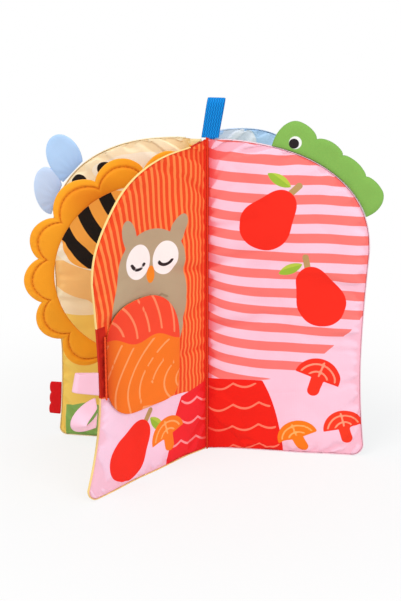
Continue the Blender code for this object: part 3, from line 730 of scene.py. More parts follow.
def left_cover_print(x: Array, z: Array) -> list[Ink]:
    """Cream sky over a yellow ground, a banded beetle with two feelers, soft clouds and a green bank.

    Args:
        x: Distance out from the fold, in millimetres.
        z: Height, in millimetres.

    Returns:
        The inks, each over the ones before it.
    """
    sky = 92 + 4 * np.sin(x / 16.0) - z
    glow = either(oval(x, z, (70, 112), (30, 12), 12), oval(x, z, (44, 98), (26, 8), 8))
    pale = either(oval(x, z, (72, 128), (22, 7), 16), oval(x, z, (30, 190), (34, 9), -8))
    beetle = oval(x, z, (58, 147), (31, 22), -42)
    bx, bz = turned(x, z, (58, 147), -42)
    curved = bx - 4 + 0.012 * bz ** 2
    feelers = either(disc(x, z, (72, 178), 5.2), disc(x, z, (55, 187), 5.2))
    return [Ink("FFF1CE", sky), Ink("FFCE85", both(glow, sky)), Ink("FFFAE8", both(pale, sky)),
            Ink("FFB652", beetle), Ink("1A1310", both(bands(curved, 18, 9.5), beetle)),
            Ink("1A1310", feelers),
            Ink("8DBB66", both(z - 24 - 1.5 * np.sin(x / 5.0), x - 87 - 0.6 * np.sin(z / 4.0)))]


def right_cover_print(x: Array, z: Array) -> list[Ink]:
    """White clouds on pale blue.

    Args:
        x: Distance out from the fold, in millimetres.
        z: Height, in millimetres.

    Returns:
        The inks, each over the ones before it.
    """
    clouds = []
    for cx, cz, size in ((8, 202, 1.1), (66, 158, 1.2), (30, 96, 1.1), (70, 44, 1.0)):
        clouds += [disc(x, z, (cx, cz), 8 * size), disc(x, z, (cx + 9 * size, cz + 4 * size), 9 * size),
                   disc(x, z, (cx + 19 * size, cz), 7 * size)]
    return [Ink("F4F9FF", either(*clouds))]


def dotted(colour: str, pitch: float, radius: float) -> PrintRule:
    """A common dot pattern in staggered rows.

    Args:
        colour: Colour of the dots.
        pitch: From dot to dot, in millimetres.
        radius: Radius of a dot.

    Returns:
        The pattern.
    """

    def spots(x: Array, z: Array) -> list[Ink]:
        """The dots."""
        row = np.floor(z / pitch)
        dx = (x + (row % 2) * pitch / 2) % pitch - pitch / 2
        return [Ink(colour, np.hypot(dx, z % pitch - pitch / 2) - radius)]

    return spots


def linear(colour: str) -> tuple[float, float, float, float]:
    """An sRGB hex colour as linear numbers."""
    parts = [int(colour[i:i + 2], 16) / 255 for i in (0, 2, 4)]
    return (*[p / 12.92 if p <= 0.04045 else ((p + 0.055) / 1.055) ** 2.4 for p in parts], 1.0)


def socket(sockets: Any, key: str) -> NodeSocket:
    """The enabled socket with that name or identifier."""
    return next(s for s in sockets if s.enabled and key in (s.name, s.identifier))


def add(tree: NodeTree, kind: str, settings: dict[str, Any] | None = None,
        inputs: dict[str, Any] | None = None) -> Node:
    """Add a node with its settings, its input values and its links.

    Args:
        tree: The node tree.
        kind: The node's type.
        settings: Properties of the node.
        inputs: Values or output sockets for its inputs, by name or identifier.

    Returns:
        The node.
    """
    node = tree.nodes.new(kind)
    for key, value in (settings or {}).items():
        setattr(node, key, value)
    for key, value in (inputs or {}).items():
        target = socket(node.inputs, key)
        if isinstance(value, NodeSocket):
            tree.links.new(value, target)
        else:
            target.default_value = value
    return node


@dataclass(frozen=True)
class Cloth:
    """A woven or napped cloth: its colour, its threads and how it takes the light."""

    name: str
    colour: str
    roughness: float = 0.85
    sheen: float = 0.04
    thread: float = 1.1
    thread_depth: float = 0.05
    nap: float = 0.0
    mottle: float = 0.05
    # Colour of the painted shade, multiplied in as far as the piece's crease attribute says.
    crease: str = ""
    inks: tuple[str, ...] = ()
    sheen_roughness: float = 0.5
    specular: float = 0.22

    def build(self) -> Material:
        """Build the material.

        Returns:
            The material, with its inks read from the piece's own attributes.
        """
        material = bpy.data.materials.new(self.name)
        material.use_nodes = True
        tree = material.node_tree
        shader = tree.nodes["Principled BSDF"]
        coordinates = add(tree, "ShaderNodeTexCoord")
        colour: Any = linear(self.colour)
        for number, ink in enumerate(self.inks):
            where = add(tree, "ShaderNodeAttribute", {"attribute_name": f"ink_{number}"})
            cover = add(tree, "ShaderNodeMapRange", {"clamp": True},
                        {"Value": where.outputs["Fac"], "From Min": -INK_EDGE, "From Max": INK_EDGE,
                         "To Min": 1.0, "To Max": 0.0})
            mixed = add(tree, "ShaderNodeMix", {"data_type": "RGBA"},
                        {"Factor": cover.outputs["Result"], "A": colour, "B": linear(ink)})
            colour = socket(mixed.outputs, "Result")
        # Uneven dye and handling: the cloth is a little darker in slow patches.
        cloudy = add(tree, "ShaderNodeTexNoise", None,
                     {"Vector": coordinates.outputs["Object"], "Scale": 55.0, "Detail": 3.0})
        shade = add(tree, "ShaderNodeMapRange", None,
                    {"Value": cloudy.outputs["Fac"], "From Min": 0.3, "From Max": 0.7,
                     "To Min": 1.0 - self.mottle, "To Max": 1.0})
        toned = add(tree, "ShaderNodeMix", {"data_type": "RGBA", "blend_type": "MULTIPLY"},
                    {"Factor": 1.0, "A": colour, "B": shade.outputs["Result"]})
        colour = socket(toned.outputs, "Result")
        # Painted shade: the crease colour darkens the cloth where the piece's crease attribute puts shade, in
        # creases, gathers, seams and folds.
        if self.crease:
            painted_shade = add(tree, "ShaderNodeAttribute", {"attribute_name": "crease"})
            shaded = add(tree, "ShaderNodeMix", {"data_type": "RGBA", "blend_type": "MULTIPLY"},
                         {"Factor": painted_shade.outputs["Fac"], "A": colour, "B": linear(self.crease)})
            colour = socket(shaded.outputs, "Result")
        tree.links.new(colour, shader.inputs["Base Color"])
        self.bump(tree, coordinates, shader)
        shader.inputs["Roughness"].default_value = self.roughness
        shader.inputs["Sheen Weight"].default_value = self.sheen
        shader.inputs["Sheen Roughness"].default_value = self.sheen_roughness
        shader.inputs["Specular IOR Level"].default_value = self.specular
        return material

    def bump(self, tree: NodeTree, coordinates: Node,
             shader: Node) -> None:
        """Add the threads, drawn coarser than real ones so that they show, and the nap.

        Args:
            tree: The material's tree.
            coordinates: Its Texture Coordinate node.
            shader: Its Principled BSDF.
        """
        scale = WAVE_PERIOD / (self.thread * MM / UV_UNIT)
        height = None
        for direction in ("X", "Y"):
            wave = add(tree, "ShaderNodeTexWave", {"bands_direction": direction},
                       {"Vector": coordinates.outputs["UV"], "Scale": scale, "Distortion": 0.4,
                        "Detail": 1.0})
            height = wave.outputs["Fac"] if height is None else add(
                tree, "ShaderNodeMath", {"operation": "MULTIPLY"},
                {"Value": height, "Value_001": wave.outputs["Fac"]}).outputs["Value"]
        woven = add(tree, "ShaderNodeBump", None,
                    {"Strength": 0.6, "Distance": self.thread_depth * MM, "Height": height})
        fuzz = add(tree, "ShaderNodeTexNoise", None,
                   {"Vector": coordinates.outputs["Object"], "Scale": 900.0, "Detail": 2.0})
        napped = add(tree, "ShaderNodeBump", None,
                     {"Strength": 0.5, "Distance": max(self.nap, 0.02) * MM, "Height": fuzz.outputs["Fac"],
                      "Normal": woven.outputs["Normal"]})
        tree.links.new(napped.outputs["Normal"], shader.inputs["Normal"])


@dataclass(frozen=True)
class WovenTape:
    """Polyester tape in a chevron weave: lengthwise ribs that zigzag a little."""

    name: str = "blue_chevron_polyester_tape"
    colour: str = "006EC2"
    highlight_colour: str = "1298EC"
    pitch: float = 1.5
    bend: float = 1.3
    depth: float = 0.30

    def build(self) -> Material:
        """Build the material, with its floats drawn coarser than real ones so that they show.

        Returns:
            The material.
        """
        material = bpy.data.materials.new(self.name)
        material.use_nodes = True
        tree = material.node_tree
        shader = tree.nodes["Principled BSDF"]
        place = add(tree, "ShaderNodeTexCoord")
        apart = add(tree, "ShaderNodeSeparateXYZ", None, {"Vector": place.outputs["UV"]})
        fine = 2 * math.pi * UV_UNIT / (self.pitch * MM)
        zigzag = add(tree, "ShaderNodeMath", {"operation": "PINGPONG"},
                     {"Value": apart.outputs["Y"], "Value_001": self.bend * MM / UV_UNIT})
        slanted = add(tree, "ShaderNodeMath", {"operation": "MULTIPLY_ADD"},
                      {"Value": zigzag.outputs["Value"], "Value_001": 0.6, "Value_002": apart.outputs["X"]})
        phase = add(tree, "ShaderNodeMath", {"operation": "MULTIPLY"},
                    {"Value": slanted.outputs["Value"], "Value_001": fine})
        wave = add(tree, "ShaderNodeMath", {"operation": "SINE"}, {"Value": phase.outputs["Value"]})
        raised = add(tree, "ShaderNodeMapRange", None,
                     {"Value": wave.outputs["Value"], "From Min": -0.6, "From Max": 0.8})
        # Painted highlight and shade: the raised floats take the lighter blue, the hollows between them the
        # darker one.
        mixed = add(tree, "ShaderNodeMix", {"data_type": "RGBA"},
                    {"Factor": raised.outputs["Result"], "A": linear(self.colour),
                     "B": linear(self.highlight_colour)})
        bump = add(tree, "ShaderNodeBump", None,
                   {"Strength": 0.8, "Distance": self.depth * MM, "Height": raised.outputs["Result"]})
        tree.links.new(socket(mixed.outputs, "Result"), shader.inputs["Base Color"])
        tree.links.new(bump.outputs["Normal"], shader.inputs["Normal"])
        shader.inputs["Roughness"].default_value = 0.6
        shader.inputs["Specular IOR Level"].default_value = 0.12
        return material


@dataclass
class Stitching:
    """Rows of stitches along a path, made with Geometry Nodes."""

    length: float = 0.0024
    spacing: float = 0.0031
    radius: float = 0.00032

    def tree(self, material: Material) -> NodeTree:
        """Build the node tree.

        Args:
            material: The thread's material.

        Returns:
            The tree, with named inputs for the stitch's sizes.
        """
        tree = bpy.data.node_groups.new("stitch_row", "GeometryNodeTree")
        tree.interface.new_socket("Geometry", in_out="INPUT", socket_type="NodeSocketGeometry")
        for name, value in (("Stitch Length", self.length), ("Stitch Spacing", self.spacing),
                            ("Thread Radius", self.radius)):
            size = tree.interface.new_socket(name, in_out="INPUT", socket_type="NodeSocketFloat")
            size.default_value = value
        tree.interface.new_socket("Geometry", in_out="OUTPUT", socket_type="NodeSocketGeometry")
        given = add(tree, "NodeGroupInput")
        path = add(tree, "GeometryNodeMeshToCurve", None, {"Mesh": given.outputs["Geometry"]})
        spaced = add(tree, "GeometryNodeResampleCurve", {"mode": "LENGTH"},
                     {"Curve": path.outputs["Curve"], "Length": given.outputs["Stitch Spacing"]})
        tangent = add(tree, "GeometryNodeInputTangent")
        aim = add(tree, "FunctionNodeAlignRotationToVector", {"axis": "X"},
                  {"Vector": tangent.outputs["Tangent"]})
        half = add(tree, "ShaderNodeMath", {"operation": "MULTIPLY"},
                   {"Value": given.outputs["Stitch Length"], "Value_001": 0.5})
        sizes = add(tree, "ShaderNodeCombineXYZ", None,
                    {"X": half.outputs["Value"], "Y": given.outputs["Thread Radius"],
                     "Z": given.outputs["Thread Radius"]})
        ball = add(tree, "GeometryNodeMeshIcoSphere", None, {"Radius": 1.0, "Subdivisions": 2})
        grain = add(tree, "GeometryNodeTransform", None,
                    {"Geometry": ball.outputs["Mesh"], "Scale": sizes.outputs["Vector"]})
        laid = add(tree, "GeometryNodeInstanceOnPoints", None,
                   {"Points": spaced.outputs["Curve"], "Instance": grain.outputs["Geometry"],
                    "Rotation": aim.outputs["Rotation"]})
        real = add(tree, "GeometryNodeRealizeInstances", None, {"Geometry": laid.outputs["Instances"]})
        dressed = add(tree, "GeometryNodeSetMaterial", None,
                      {"Geometry": real.outputs["Geometry"], "Material": material})
        add(tree, "NodeGroupOutput", None, {"Geometry": dressed.outputs["Geometry"]})
        return tree

    def sew(self, name: str, paths: Sequence[Array], material: Material) -> Object:
        """Sew stitches along paths.

        Args:
            name: The piece's name.
            paths: Points of each path, in the row frame.
            material: The thread's material.

        Returns:
            One plain mesh of all the stitches.
        """
        edges, start = [], 0
        for path in paths:
            edges += [(start + i, start + i + 1) for i in range(len(path) - 1)]
            start += len(path)
        guide_mesh = bpy.data.meshes.new(f"{name}_guide")
        guide_mesh.from_pydata(np.concatenate(paths).tolist(), edges, [])
        guide = put(f"{name}_guide", guide_mesh)
        modifier = guide.modifiers.new("stitches", "NODES")
        modifier.node_group = self.tree(material)
        for item in modifier.node_group.interface.items_tree:
            if item.name == "Stitch Length":
                modifier[item.identifier] = self.length
        bpy.context.view_layer.update()
        evaluated = guide.evaluated_get(bpy.context.evaluated_depsgraph_get())
        mesh = bpy.data.meshes.new_from_object(evaluated)
        bpy.data.objects.remove(guide)
        mesh.name = name
        mesh.shade_smooth()
        return put(name, mesh)


def dress(piece: Object, material: Material, body: str, slot: str,
          *nodes: str) -> Object:
    """Give a piece its cloth, the body it moves with and the CAD nodes that it stands for.

    Args:
        piece: The finished piece.
        material: Its cloth.
        body: The body it rides on.
        slot: The record's material slot; not used.
        nodes: The CAD nodes that it replaces.

    Returns:
        The piece.
    """
    piece.data.materials.clear()
    piece.data.materials.append(material)
    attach(piece, body)
    if nodes:
        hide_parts(*nodes)
    LOG.info("%s rides on %s", piece.name, body)
    return piece


@dataclass(frozen=True)
class PillowCloth:
    """Blender's Cloth, blown up inside pinned seams: the spare cloth gathers as on a stuffed page."""

    columns: int = 50
    rows: int = 100
    enlarge: float = 10.0
    pressure: float = 2.2
    spare: float = 0.055
    bending: float = 0.8
    frames: int = 20
    window: int = 8
    start_swell: float = 0.0008
    least: float = 0.0010
    crown_power: float = 0.7

    def pillow(self, name: str, u: Array, z: Array) -> Object:
        """Two sheets with one shared seam, ten times as large as life, with Cloth on them.

        Args:
            name: Name for the working object.
            u: Distance out from the fold over the grid.
            z: Height over the grid.

        Returns:
            The working object.
        """
        rows, columns = u.shape
        number = np.arange(rows * columns).reshape(rows, columns)
        seam = np.zeros((rows, columns), bool)
        seam[[0, -1]] = True
        seam[:, [0, -1]] = True
        far = number.copy()
        far[~seam] = rows * columns + np.arange(int((~seam).sum()))
        swell = self.start_swell * np.outer(np.sin(math.pi * np.linspace(0, 1, rows)),
                                            np.sin(math.pi * np.linspace(0, 1, columns)))
        near_side = np.stack([u, -swell, z], -1).reshape(-1, 3)
        far_side = np.stack([u, swell, z], -1)[~seam]
        turned_quads = np.stack([far[:-1, :-1], far[1:, :-1], far[1:, 1:], far[:-1, 1:]], -1)
        faces = np.concatenate([patch_quads(number), turned_quads.reshape(-1, 4)])
        mesh = bpy.data.meshes.new(name)
        mesh.from_pydata((np.concatenate([near_side, far_side]) * self.enlarge).tolist(), [], faces.tolist())
        item = put(name, mesh)
        item.vertex_groups.new(name="seam").add(number[seam].tolist(), 1.0, "REPLACE")
        cloth = item.modifiers.new("cloth", "CLOTH")
        cloth.point_cache.frame_start = 1
        cloth.point_cache.frame_end = self.frames
        settings = cloth.settings
        settings.quality = 4
        settings.mass = 0.15
        settings.bending_stiffness = self.bending
        settings.effector_weights.gravity = 0.0
        settings.use_pressure = True
        settings.uniform_pressure_force = self.pressure
        settings.vertex_group_mass = "seam"
        settings.shrink_min = settings.shrink_max = -self.spare
        return item

    def settle(self, name: str, u: Array, z: Array) -> Array:
        """Run the cloth and read how far its reading side has moved.

        Args:
            name: Name for the working object.
            u: Distance out from the fold over the grid.
            z: Height over the grid.

        Returns:
            The moves in u, depth and z, of shape (rows, columns, 3), in metres.
        """
        item = self.pillow(name, u, z)
        for frame in range(1, self.frames + 1):
            bpy.context.scene.frame_set(frame)
        settled = item.evaluated_get(bpy.context.evaluated_depsgraph_get()).data
        places = np.empty(len(settled.vertices) * 3)
        settled.vertices.foreach_get("co", places)
        near = places.reshape(-1, 3)[:u.size].reshape(*u.shape, 3) / self.enlarge
        bpy.data.objects.remove(item)
        bpy.context.scene.frame_set(1)
        return near - np.stack([u, np.zeros_like(u), z], -1)

    def smoothed(self, values: Array, axis: int) -> Array:
        """Running mean along one axis, over twice the window.

        Args:
            values: The values.
            axis: The axis.

        Returns:
            Values of the same shape.
        """
        width = 2 * self.window + 1
        ends = [(self.window, self.window) if k == axis else (0, 0) for k in range(values.ndim)]
        total = np.cumsum(np.pad(values, ends, mode="reflect"), axis)
        first = np.take(total, range(width - 1, total.shape[axis]), axis)
        before = np.take(total, range(0, total.shape[axis] - width), axis)
        zero = np.zeros_like(np.take(first, [0], axis))
        return (first - np.concatenate([zero, before], axis)) / width

    def gathers(self, name: str, form: PageForm, inset: float) -> tuple[Array, ...]:
        """What the spare cloth does over a page.

        Args:
            name: Name for the working object.
            form: The page.
            inset: Distance in from the sewn edge.

        Returns:
            Heights of the rows, how deep each place lies in a gather (0 to 1), and its sideways moves.
        """
        u, z = form.grid(inset, self.columns, self.rows)
        moves = self.settle(name, u, z)
        edge = np.concatenate([[[form.start, inset]], form.rim(inset, 12, 60, 60), [[form.start, z[-1, 0]]],
                               [[form.start, inset]]])
        crown = (outline_distance(u, z, edge) + self.least) ** self.crown_power
        fullness = np.maximum(-moves[..., 1], 0.0) / crown
        deep = 1.0 - fullness / np.maximum(self.smoothed(self.smoothed(fullness, 0), 1), 1e-9)
        sideways = moves[..., [0, 2]] - self.smoothed(self.smoothed(moves[..., [0, 2]], 0), 1)
        return z[:, 0], np.clip(deep, -0.6, 1.0), np.clip(sideways, -0.0008, 0.0008)


def refine(values: Array, form: PageForm, heights: Array, columns: int,
           fine_heights: Array) -> Array:
    """Carry a coarse page grid's values to a finer grid, without its facets.

    Args:
        values: Values of shape (rows, columns).
        form: The page.
        heights: Height of each coarse row.
        columns: Columns of the finer grid.
        fine_heights: Height of each finer row.

    Returns:
        Values on the finer grid.
    """
    across = np.stack([np.interp(form.shares(columns), form.shares(values.shape[1]), row) for row in values])
    fine = np.stack([np.interp(fine_heights, heights, column) for column in across.T], 1)
    for _ in range(2):
        padded = np.pad(fine, 1, mode="edge")
        fine = (padded[:-2, 1:-1] + padded[2:, 1:-1] + padded[1:-1, :-2] + padded[1:-1, 2:]
                + 2.0 * padded[1:-1, 1:-1]) / 6.0
    return fine


@dataclass
class PaddedPage:
    """A sewn page: printed front, backing, and the rolled edge that the backing makes."""

    form: PageForm
    print_rule: PrintRule
    back_rule: PrintRule
    ground: str
    back_ground: str
    slots: tuple[str, str]
    fine: int = 130
    coarse: int = 72
    edge_inset: float = 0.0006
    fold_bulge: float = 0.0003
    gather_pitch: float = 0.0175
    pull_pitch: float = 0.0105
    puff_pitch: float = 0.0118
    gather_share: float = 1.7
    # Colour of the painted shade at the rim, beside the fold and in the gathers.
    shade: str = "F09A98"
    edge_colour: str = ""
    edge_rule: PrintRule = no_print
    seed: int = 3
    gathered: tuple[Array, ...] | None = None

    def dents(self, u: Array, z: Array, inset: Array, seed: int) -> Array:
        """Share of the padding that is drawn in: gathers at the seams and slow creases.

        Args:
            u: Distance out from the fold.
            z: Height.
            inset: Distance in from the sewn edge.
            seed: Seed for the creases.

        Returns:
            Shares from 0 to about 0.7.
        """
        gather = 0.5 + 0.5 * np.sin(2 * math.pi * z / self.gather_pitch + 2.2 * ripple(u, z, 0.05, seed))
        fold = gather * np.exp(-np.clip(u - 0.004, 0, None) / 0.016) * 0.6
        pulls = 0.5 + 0.5 * np.sin(2 * math.pi * (z + 0.6 * u) / self.pull_pitch
                                   + 2.6 * ripple(u, z, 0.035, seed + 1))
        rim = pulls * np.exp(-inset / 0.0055) * 0.25
        slow = np.clip(ripple(u, z, 0.042, seed + 2), 0, 1) * 0.4
        crease = np.exp(-(ripple(u, z, 0.06, seed + 3) / 0.09) ** 2) * 0.25
        return np.clip(fold + rim + slow + crease, 0, 0.8)

    def surface(self, columns: int, front: bool) -> tuple[Array, ...]:
        """The grid of one face with its padding.

        Args:
            columns: Places across the page.
            front: Whether it is the printed face.

        Returns:
            u, z, half thickness, how much painted shade each place takes, and its sideways moves.
        """
        u, z = self.form.grid(self.edge_inset, columns, columns * 2)
        rim = self.form.rim(0.0, 12, 60, 60)
        line = np.concatenate([[[self.form.start, 0.0]], rim, [[self.form.start, rim[-1, 1]]]])
        inset = outline_distance(u, z, line)
        full = np.minimum(self.form.crown(inset), self.form.fold_half(u))
        drawn = self.dents(u, z, inset, self.seed + (0 if front else 20))
        moved = np.zeros((*u.shape, 2))
        if self.gathered:
            heights, deep, sideways = self.gathered
            deep = refine(deep, self.form, heights, columns, z[:, 0])
            drawn = 0.35 * drawn + self.gather_share * (deep + 0.12)
            moved = np.stack([refine(sideways[..., k], self.form, heights, columns, z[:, 0])
                              for k in (0, 1)], -1)
        drawn = np.clip(drawn, 0.0, 0.85)
        half = full - (full - self.form.seam_half * 0.5) * drawn * smooth((u - self.form.start) / 0.003)
        puffs = np.abs(np.sin(math.pi * z / self.puff_pitch + 1.2 * np.sin(z / 0.021)))
        moved[..., 0] -= self.fold_bulge * (0.5 + 0.5 * puffs) * np.exp(-np.clip(u, 0, None) / 0.004)
        near_fold = np.exp(-np.clip(u, 0, None) / 0.012)
        # Painted shade: darker along the sewn rim, beside the fold and in the deepest gathers.
        crease = 0.20 * np.exp(-inset / 0.0011) + 0.75 * np.exp(-np.clip(u, 0, None) / 0.0032)
        return u, z, half, np.clip(crease + (0.22 + 0.65 * near_fold) * drawn ** 2, 0, 1), moved

    def half_pad(self, front: bool) -> Object:
        """One face of the page as a closed pad.

        Args:
            front: Whether it is the printed face.

        Returns:
            The piece, not yet dressed.
        """
        u, z, half, crease, moved = self.surface(self.fine if front else self.coarse, front)
        sign = -1.0 if front else 1.0
        middle = self.form.middle(u)
        outer = self.form.place(u + moved[..., 0], middle + sign * half, z + moved[..., 1])
        inner = self.form.place(u, middle + sign * PARTING, z)
        inks = (self.print_rule if front else self.back_rule)(u / MM, z / MM)
        values = {f"ink_{i}": ink.shape for i, ink in enumerate(inks)}
        values["crease"] = crease
        name = f"{self.form.name}_{'printed' if front else 'backing'}_pad"
        piece = grid_solid(name, outer, inner, np.stack([u, z], -1), values)
        ground = self.ground if front else self.back_ground
        # Printed plain-weave cotton: matt, with clean-edged inks, and painted shade where it is drawn in,
        # along its rim and beside the fold.
        cloth = Cloth(f"printed_cotton_{name}", ground, crease=self.shade if front else "B0A890",
                      inks=tuple(ink.colour for ink in inks))
        node = f"{self.form.name}_{'front' if front else 'back'}"
        inside = f"{self.form.name}_{'wadding' if front else 'crinkle_film'}"
        dress(piece, cloth.build(), self.form.name, self.slots[0 if front else 1], node, inside)
        return piece

    def rolled_edge(self) -> Object:
        """The backing's rolled edge, which shows as a thin line round the print.

        Returns:
            The piece.
        """
        rim = self.form.rim(self.edge_inset / 2, 8, 60, 60)
        bottom = np.stack([np.linspace(self.form.start, rim[0, 0], 14)[:-1],
                           np.full(13, self.edge_inset / 2)], 1)
        path = np.concatenate([bottom, rim])
        along = np.gradient(path, axis=0)
        along /= np.linalg.norm(along, axis=1)[:, None]
        normal = np.stack([along[:, 1], -along[:, 0]], 1)
        turn = np.linspace(0, 2 * math.pi, 10, endpoint=False)
        flat = np.sign(np.cos(turn)) * np.abs(np.cos(turn)) ** 0.7 * self.edge_inset * 0.5
        deep = np.sign(np.sin(turn)) * np.abs(np.sin(turn)) ** 0.7 * (self.form.seam_half + 0.0001)
        u = path[:, :1] + normal[:, :1] * flat[None, :]
        z = path[:, 1:] + normal[:, 1:] * flat[None, :]
        rings = self.form.place(u, self.form.middle(u) + deep[None, :], z)
        inks = self.edge_rule(u / MM, z / MM)
        piece = tube(f"{self.form.name}_rolled_edge", rings, 0.004,
                     {f"ink_{i}": ink.shape for i, ink in enumerate(inks)})
        # The backing's cotton, rolled over the seam: a thin, pale and quite even line.
        cloth = Cloth(f"cotton_edge_{self.form.name}", self.edge_colour or self.back_ground, thread=0.8,
                      inks=tuple(ink.colour for ink in inks))
        return dress(piece, cloth.build(), self.form.name, self.slots[1], f"{self.form.name}_back")

    def build(self) -> None:
        """Build the whole page, with its gathers from the cloth simulation."""
        self.gathered = PillowCloth().gathers(f"{self.form.name}_pillow", self.form, self.edge_inset)
        self.half_pad(True)
        self.half_pad(False)
        self.rolled_edge()


@dataclass
class RingPage:
    """The scalloped, padded ring with its stitched channel and binding strip."""

    form: PageForm
    strip: float = 0.0052
    gap: float = 0.0003
    centre: tuple[float, float] = (0.0355, 0.126)
    hole: float = 0.0555
    valley: float = 0.0655
    lobe: float = 0.0090
    lobe_power: float = 0.7
    valleys: tuple[float, ...] = (-138, -113, -88.5, -63.5, -39, -14.5, 10.5, 35, 64.5, 91.5, 118, 143)
    high_lobe: tuple[float, float] = (105.0, 0.0045)
    crown_run: float = 0.0075
    channel: float = 0.0052
    around: int = 520
    across: int = 30

    def outer(self, angle: Array) -> Array:
        """Radius of the scalloped edge at an angle, in radians.

        Args:
            angle: Angle about the ring's centre.

        Returns:
            The radius.
        """
        lobes = np.interp(np.degrees(angle), self.valleys, range(len(self.valleys)))
        round_edge = np.abs(np.sin(math.pi * lobes)) ** self.lobe_power
        off_middle = (np.degrees(angle) - self.high_lobe[0]) / 13.0
        higher = self.high_lobe[1] * np.clip(1.0 - off_middle ** 2, 0, 1)
        return self.valley + self.lobe * round_edge + higher

    def places(self) -> tuple[Array, ...]:
        """The grid of the ring.

        Returns:
            u, z, distance in from the scalloped edge, distance from the hole, and the angle.
        """
        start = self.strip + self.gap
        across = 0.5 - 0.5 * np.cos(np.linspace(0, math.pi, self.across))
        across = 0.5 * across + 0.5 * np.linspace(0, 1, self.across)
        nominal = self.hole + (self.valley - self.hole) * across
        ends = np.arccos((start - self.centre[0]) / nominal)
        share = np.linspace(-1, 1, self.around)
        angle = share[:, None] * ends[None, :]
        width = self.outer(angle) - self.hole
        radius = self.hole + across[None, :] * width
        u = np.maximum(start, self.centre[0] + radius * np.cos(angle))
        z = self.centre[1] + radius * np.sin(angle)
        return u, z, (1 - across)[None, :] * width, across[None, :] * width, angle

    def half(self) -> tuple[Array, Array]:
        """Half thickness and painted shade over the grid.

        Returns:
            Both, over the grid of places.
        """
        u, z, outside, inside, angle = self.places()
        seam, full = self.form.seam_half, self.form.half
        near = np.minimum(outside, inside)
        swell = np.sqrt(1.0 - (1.0 - np.clip(near / self.crown_run, 0, 1)) ** 2)
        thick = np.minimum(seam + (full - seam) * swell, self.form.fold_half(u))
        dip = np.exp(-((outside - self.channel) / 0.00085) ** 2)
        pull = 0.5 + 0.5 * np.sin(angle * 74 + 2.5 * ripple(u, z, 0.03, 5))
        near_rim = np.exp(-outside / 0.0022)
        near_channel = np.exp(-np.abs(outside - self.channel) / 0.002)
        rim = pull * near_rim * 0.25 + pull * near_channel * 0.25
        slow = np.clip(ripple(u, z, 0.03, 9), 0, 1) * 0.2
        drawn = np.clip(0.75 * dip + rim + slow, 0, 0.85)
        # Painted shade: darker in the stitched channel, by the hole and in slow patches.
        painted_shade = 0.55 * dip + 0.25 * np.exp(-inside / 0.001) + 0.25 * np.clip(ripple(u, z, 0.045, 17), 0, 1)
        # Painted shade on the lobe that leans away from the light.
        painted_shade += 0.55 * np.exp(-((np.degrees(angle) - 57) / 15) ** 2) * smooth((outside - 0.001) / 0.010)
        return thick - (thick - seam * 0.5) * drawn, np.clip(painted_shade, 0, 0.8)

    def build(self, velour: Cloth, thread: Material) -> None:
        """Build the ring's two faces, its channel stitches and its strip.

        Args:
            velour: The ring's cloth.
            thread: The thread's material.
        """
        u, z, outside, _, _ = self.places()
        half, crease = self.half()
        middle = self.form.middle(u)
        material = velour.build()
        for sign, side, share, nodes in ((-1, "front", 1.0, ("ring_page_front", "ring_page_wadding")),
                                         (1, "back", 0.88, ("ring_page_back",))):
            outer = self.form.place(u, middle + sign * half * share, z)
            inner = self.form.place(u, middle + sign * PARTING, z)
            piece = grid_solid(f"ring_page_{side}_pad", outer, inner, np.stack([u, z], -1),
                               {"crease": crease})
            dress(piece, material, "ring_page", "orange_velour", *nodes)
        self.stitches(thread)
        self.binding(material)

    def stitches(self, thread: Material) -> None:
        """Sew the channel on both faces.

        Args:
            thread: The thread's material.
        """
        end = math.acos((self.strip + 0.004 - self.centre[0]) / self.valley)
        angle = np.linspace(-end, end, 700)
        radius = self.outer(angle) - self.channel
        u = self.centre[0] + radius * np.cos(angle)
        z = self.centre[1] + radius * np.sin(angle)
        depth = self.form.seam_half * 0.95
        paths = [self.form.place(u, self.form.middle(u) + sign * depth, z) for sign in (-1, 1)]
        row = Stitching(0.0021, 0.0026, 0.00026).sew("ring_page_channel_stitches", paths, thread)
        dress(row, thread, "ring_page", "orange_velour")

    def binding(self, material: Material) -> None:
        """The cloth strip that binds the ring into the fold.

        Args:
            material: The strip's cloth.
        """
        u = np.linspace(self.form.start, self.strip, 9)[None, :]
        z = np.linspace(0.004, 0.206, 90)[:, None]
        u, z = np.broadcast_arrays(u, z)
        half = self.form.seam_half * (0.78 + 0.2 * ripple(u, z, 0.02, 4))
        middle = self.form.middle(u)
        piece = grid_solid("ring_page_cloth_binding", self.form.place(u, middle - half, z),
                           self.form.place(u, middle + half, z), np.stack([u, z], -1),
                           {"crease": np.zeros_like(u)})
        dress(piece, material, "ring_page", "orange_velour", "ring_page_binding_strip")
        z = np.linspace(0.0040, 0.2098, 130)[:, None]
        low = 0.0006 - 0.0027 * smooth((z - 0.197) / 0.006)
        u, z = np.broadcast_arrays(low + (self.strip - 0.0004 - low) * np.linspace(0, 1, 7)[None, :], z)
        behind = self.form.middle(u) + self.form.seam_half + 0.0004
        allowance = grid_solid("left_cover_seam_allowance", self.form.place(u, behind, z),
                               self.form.place(u, behind + 0.0005, z), np.stack([u, z], -1))
        # The cover's own cream cotton, unprinted: a soft pale strip beside the fold.
        cream = Cloth("cream_cotton_allowance", "F6DDA4").build()
        dress(allowance, cream, "ring_page", "cream_print_cotton")


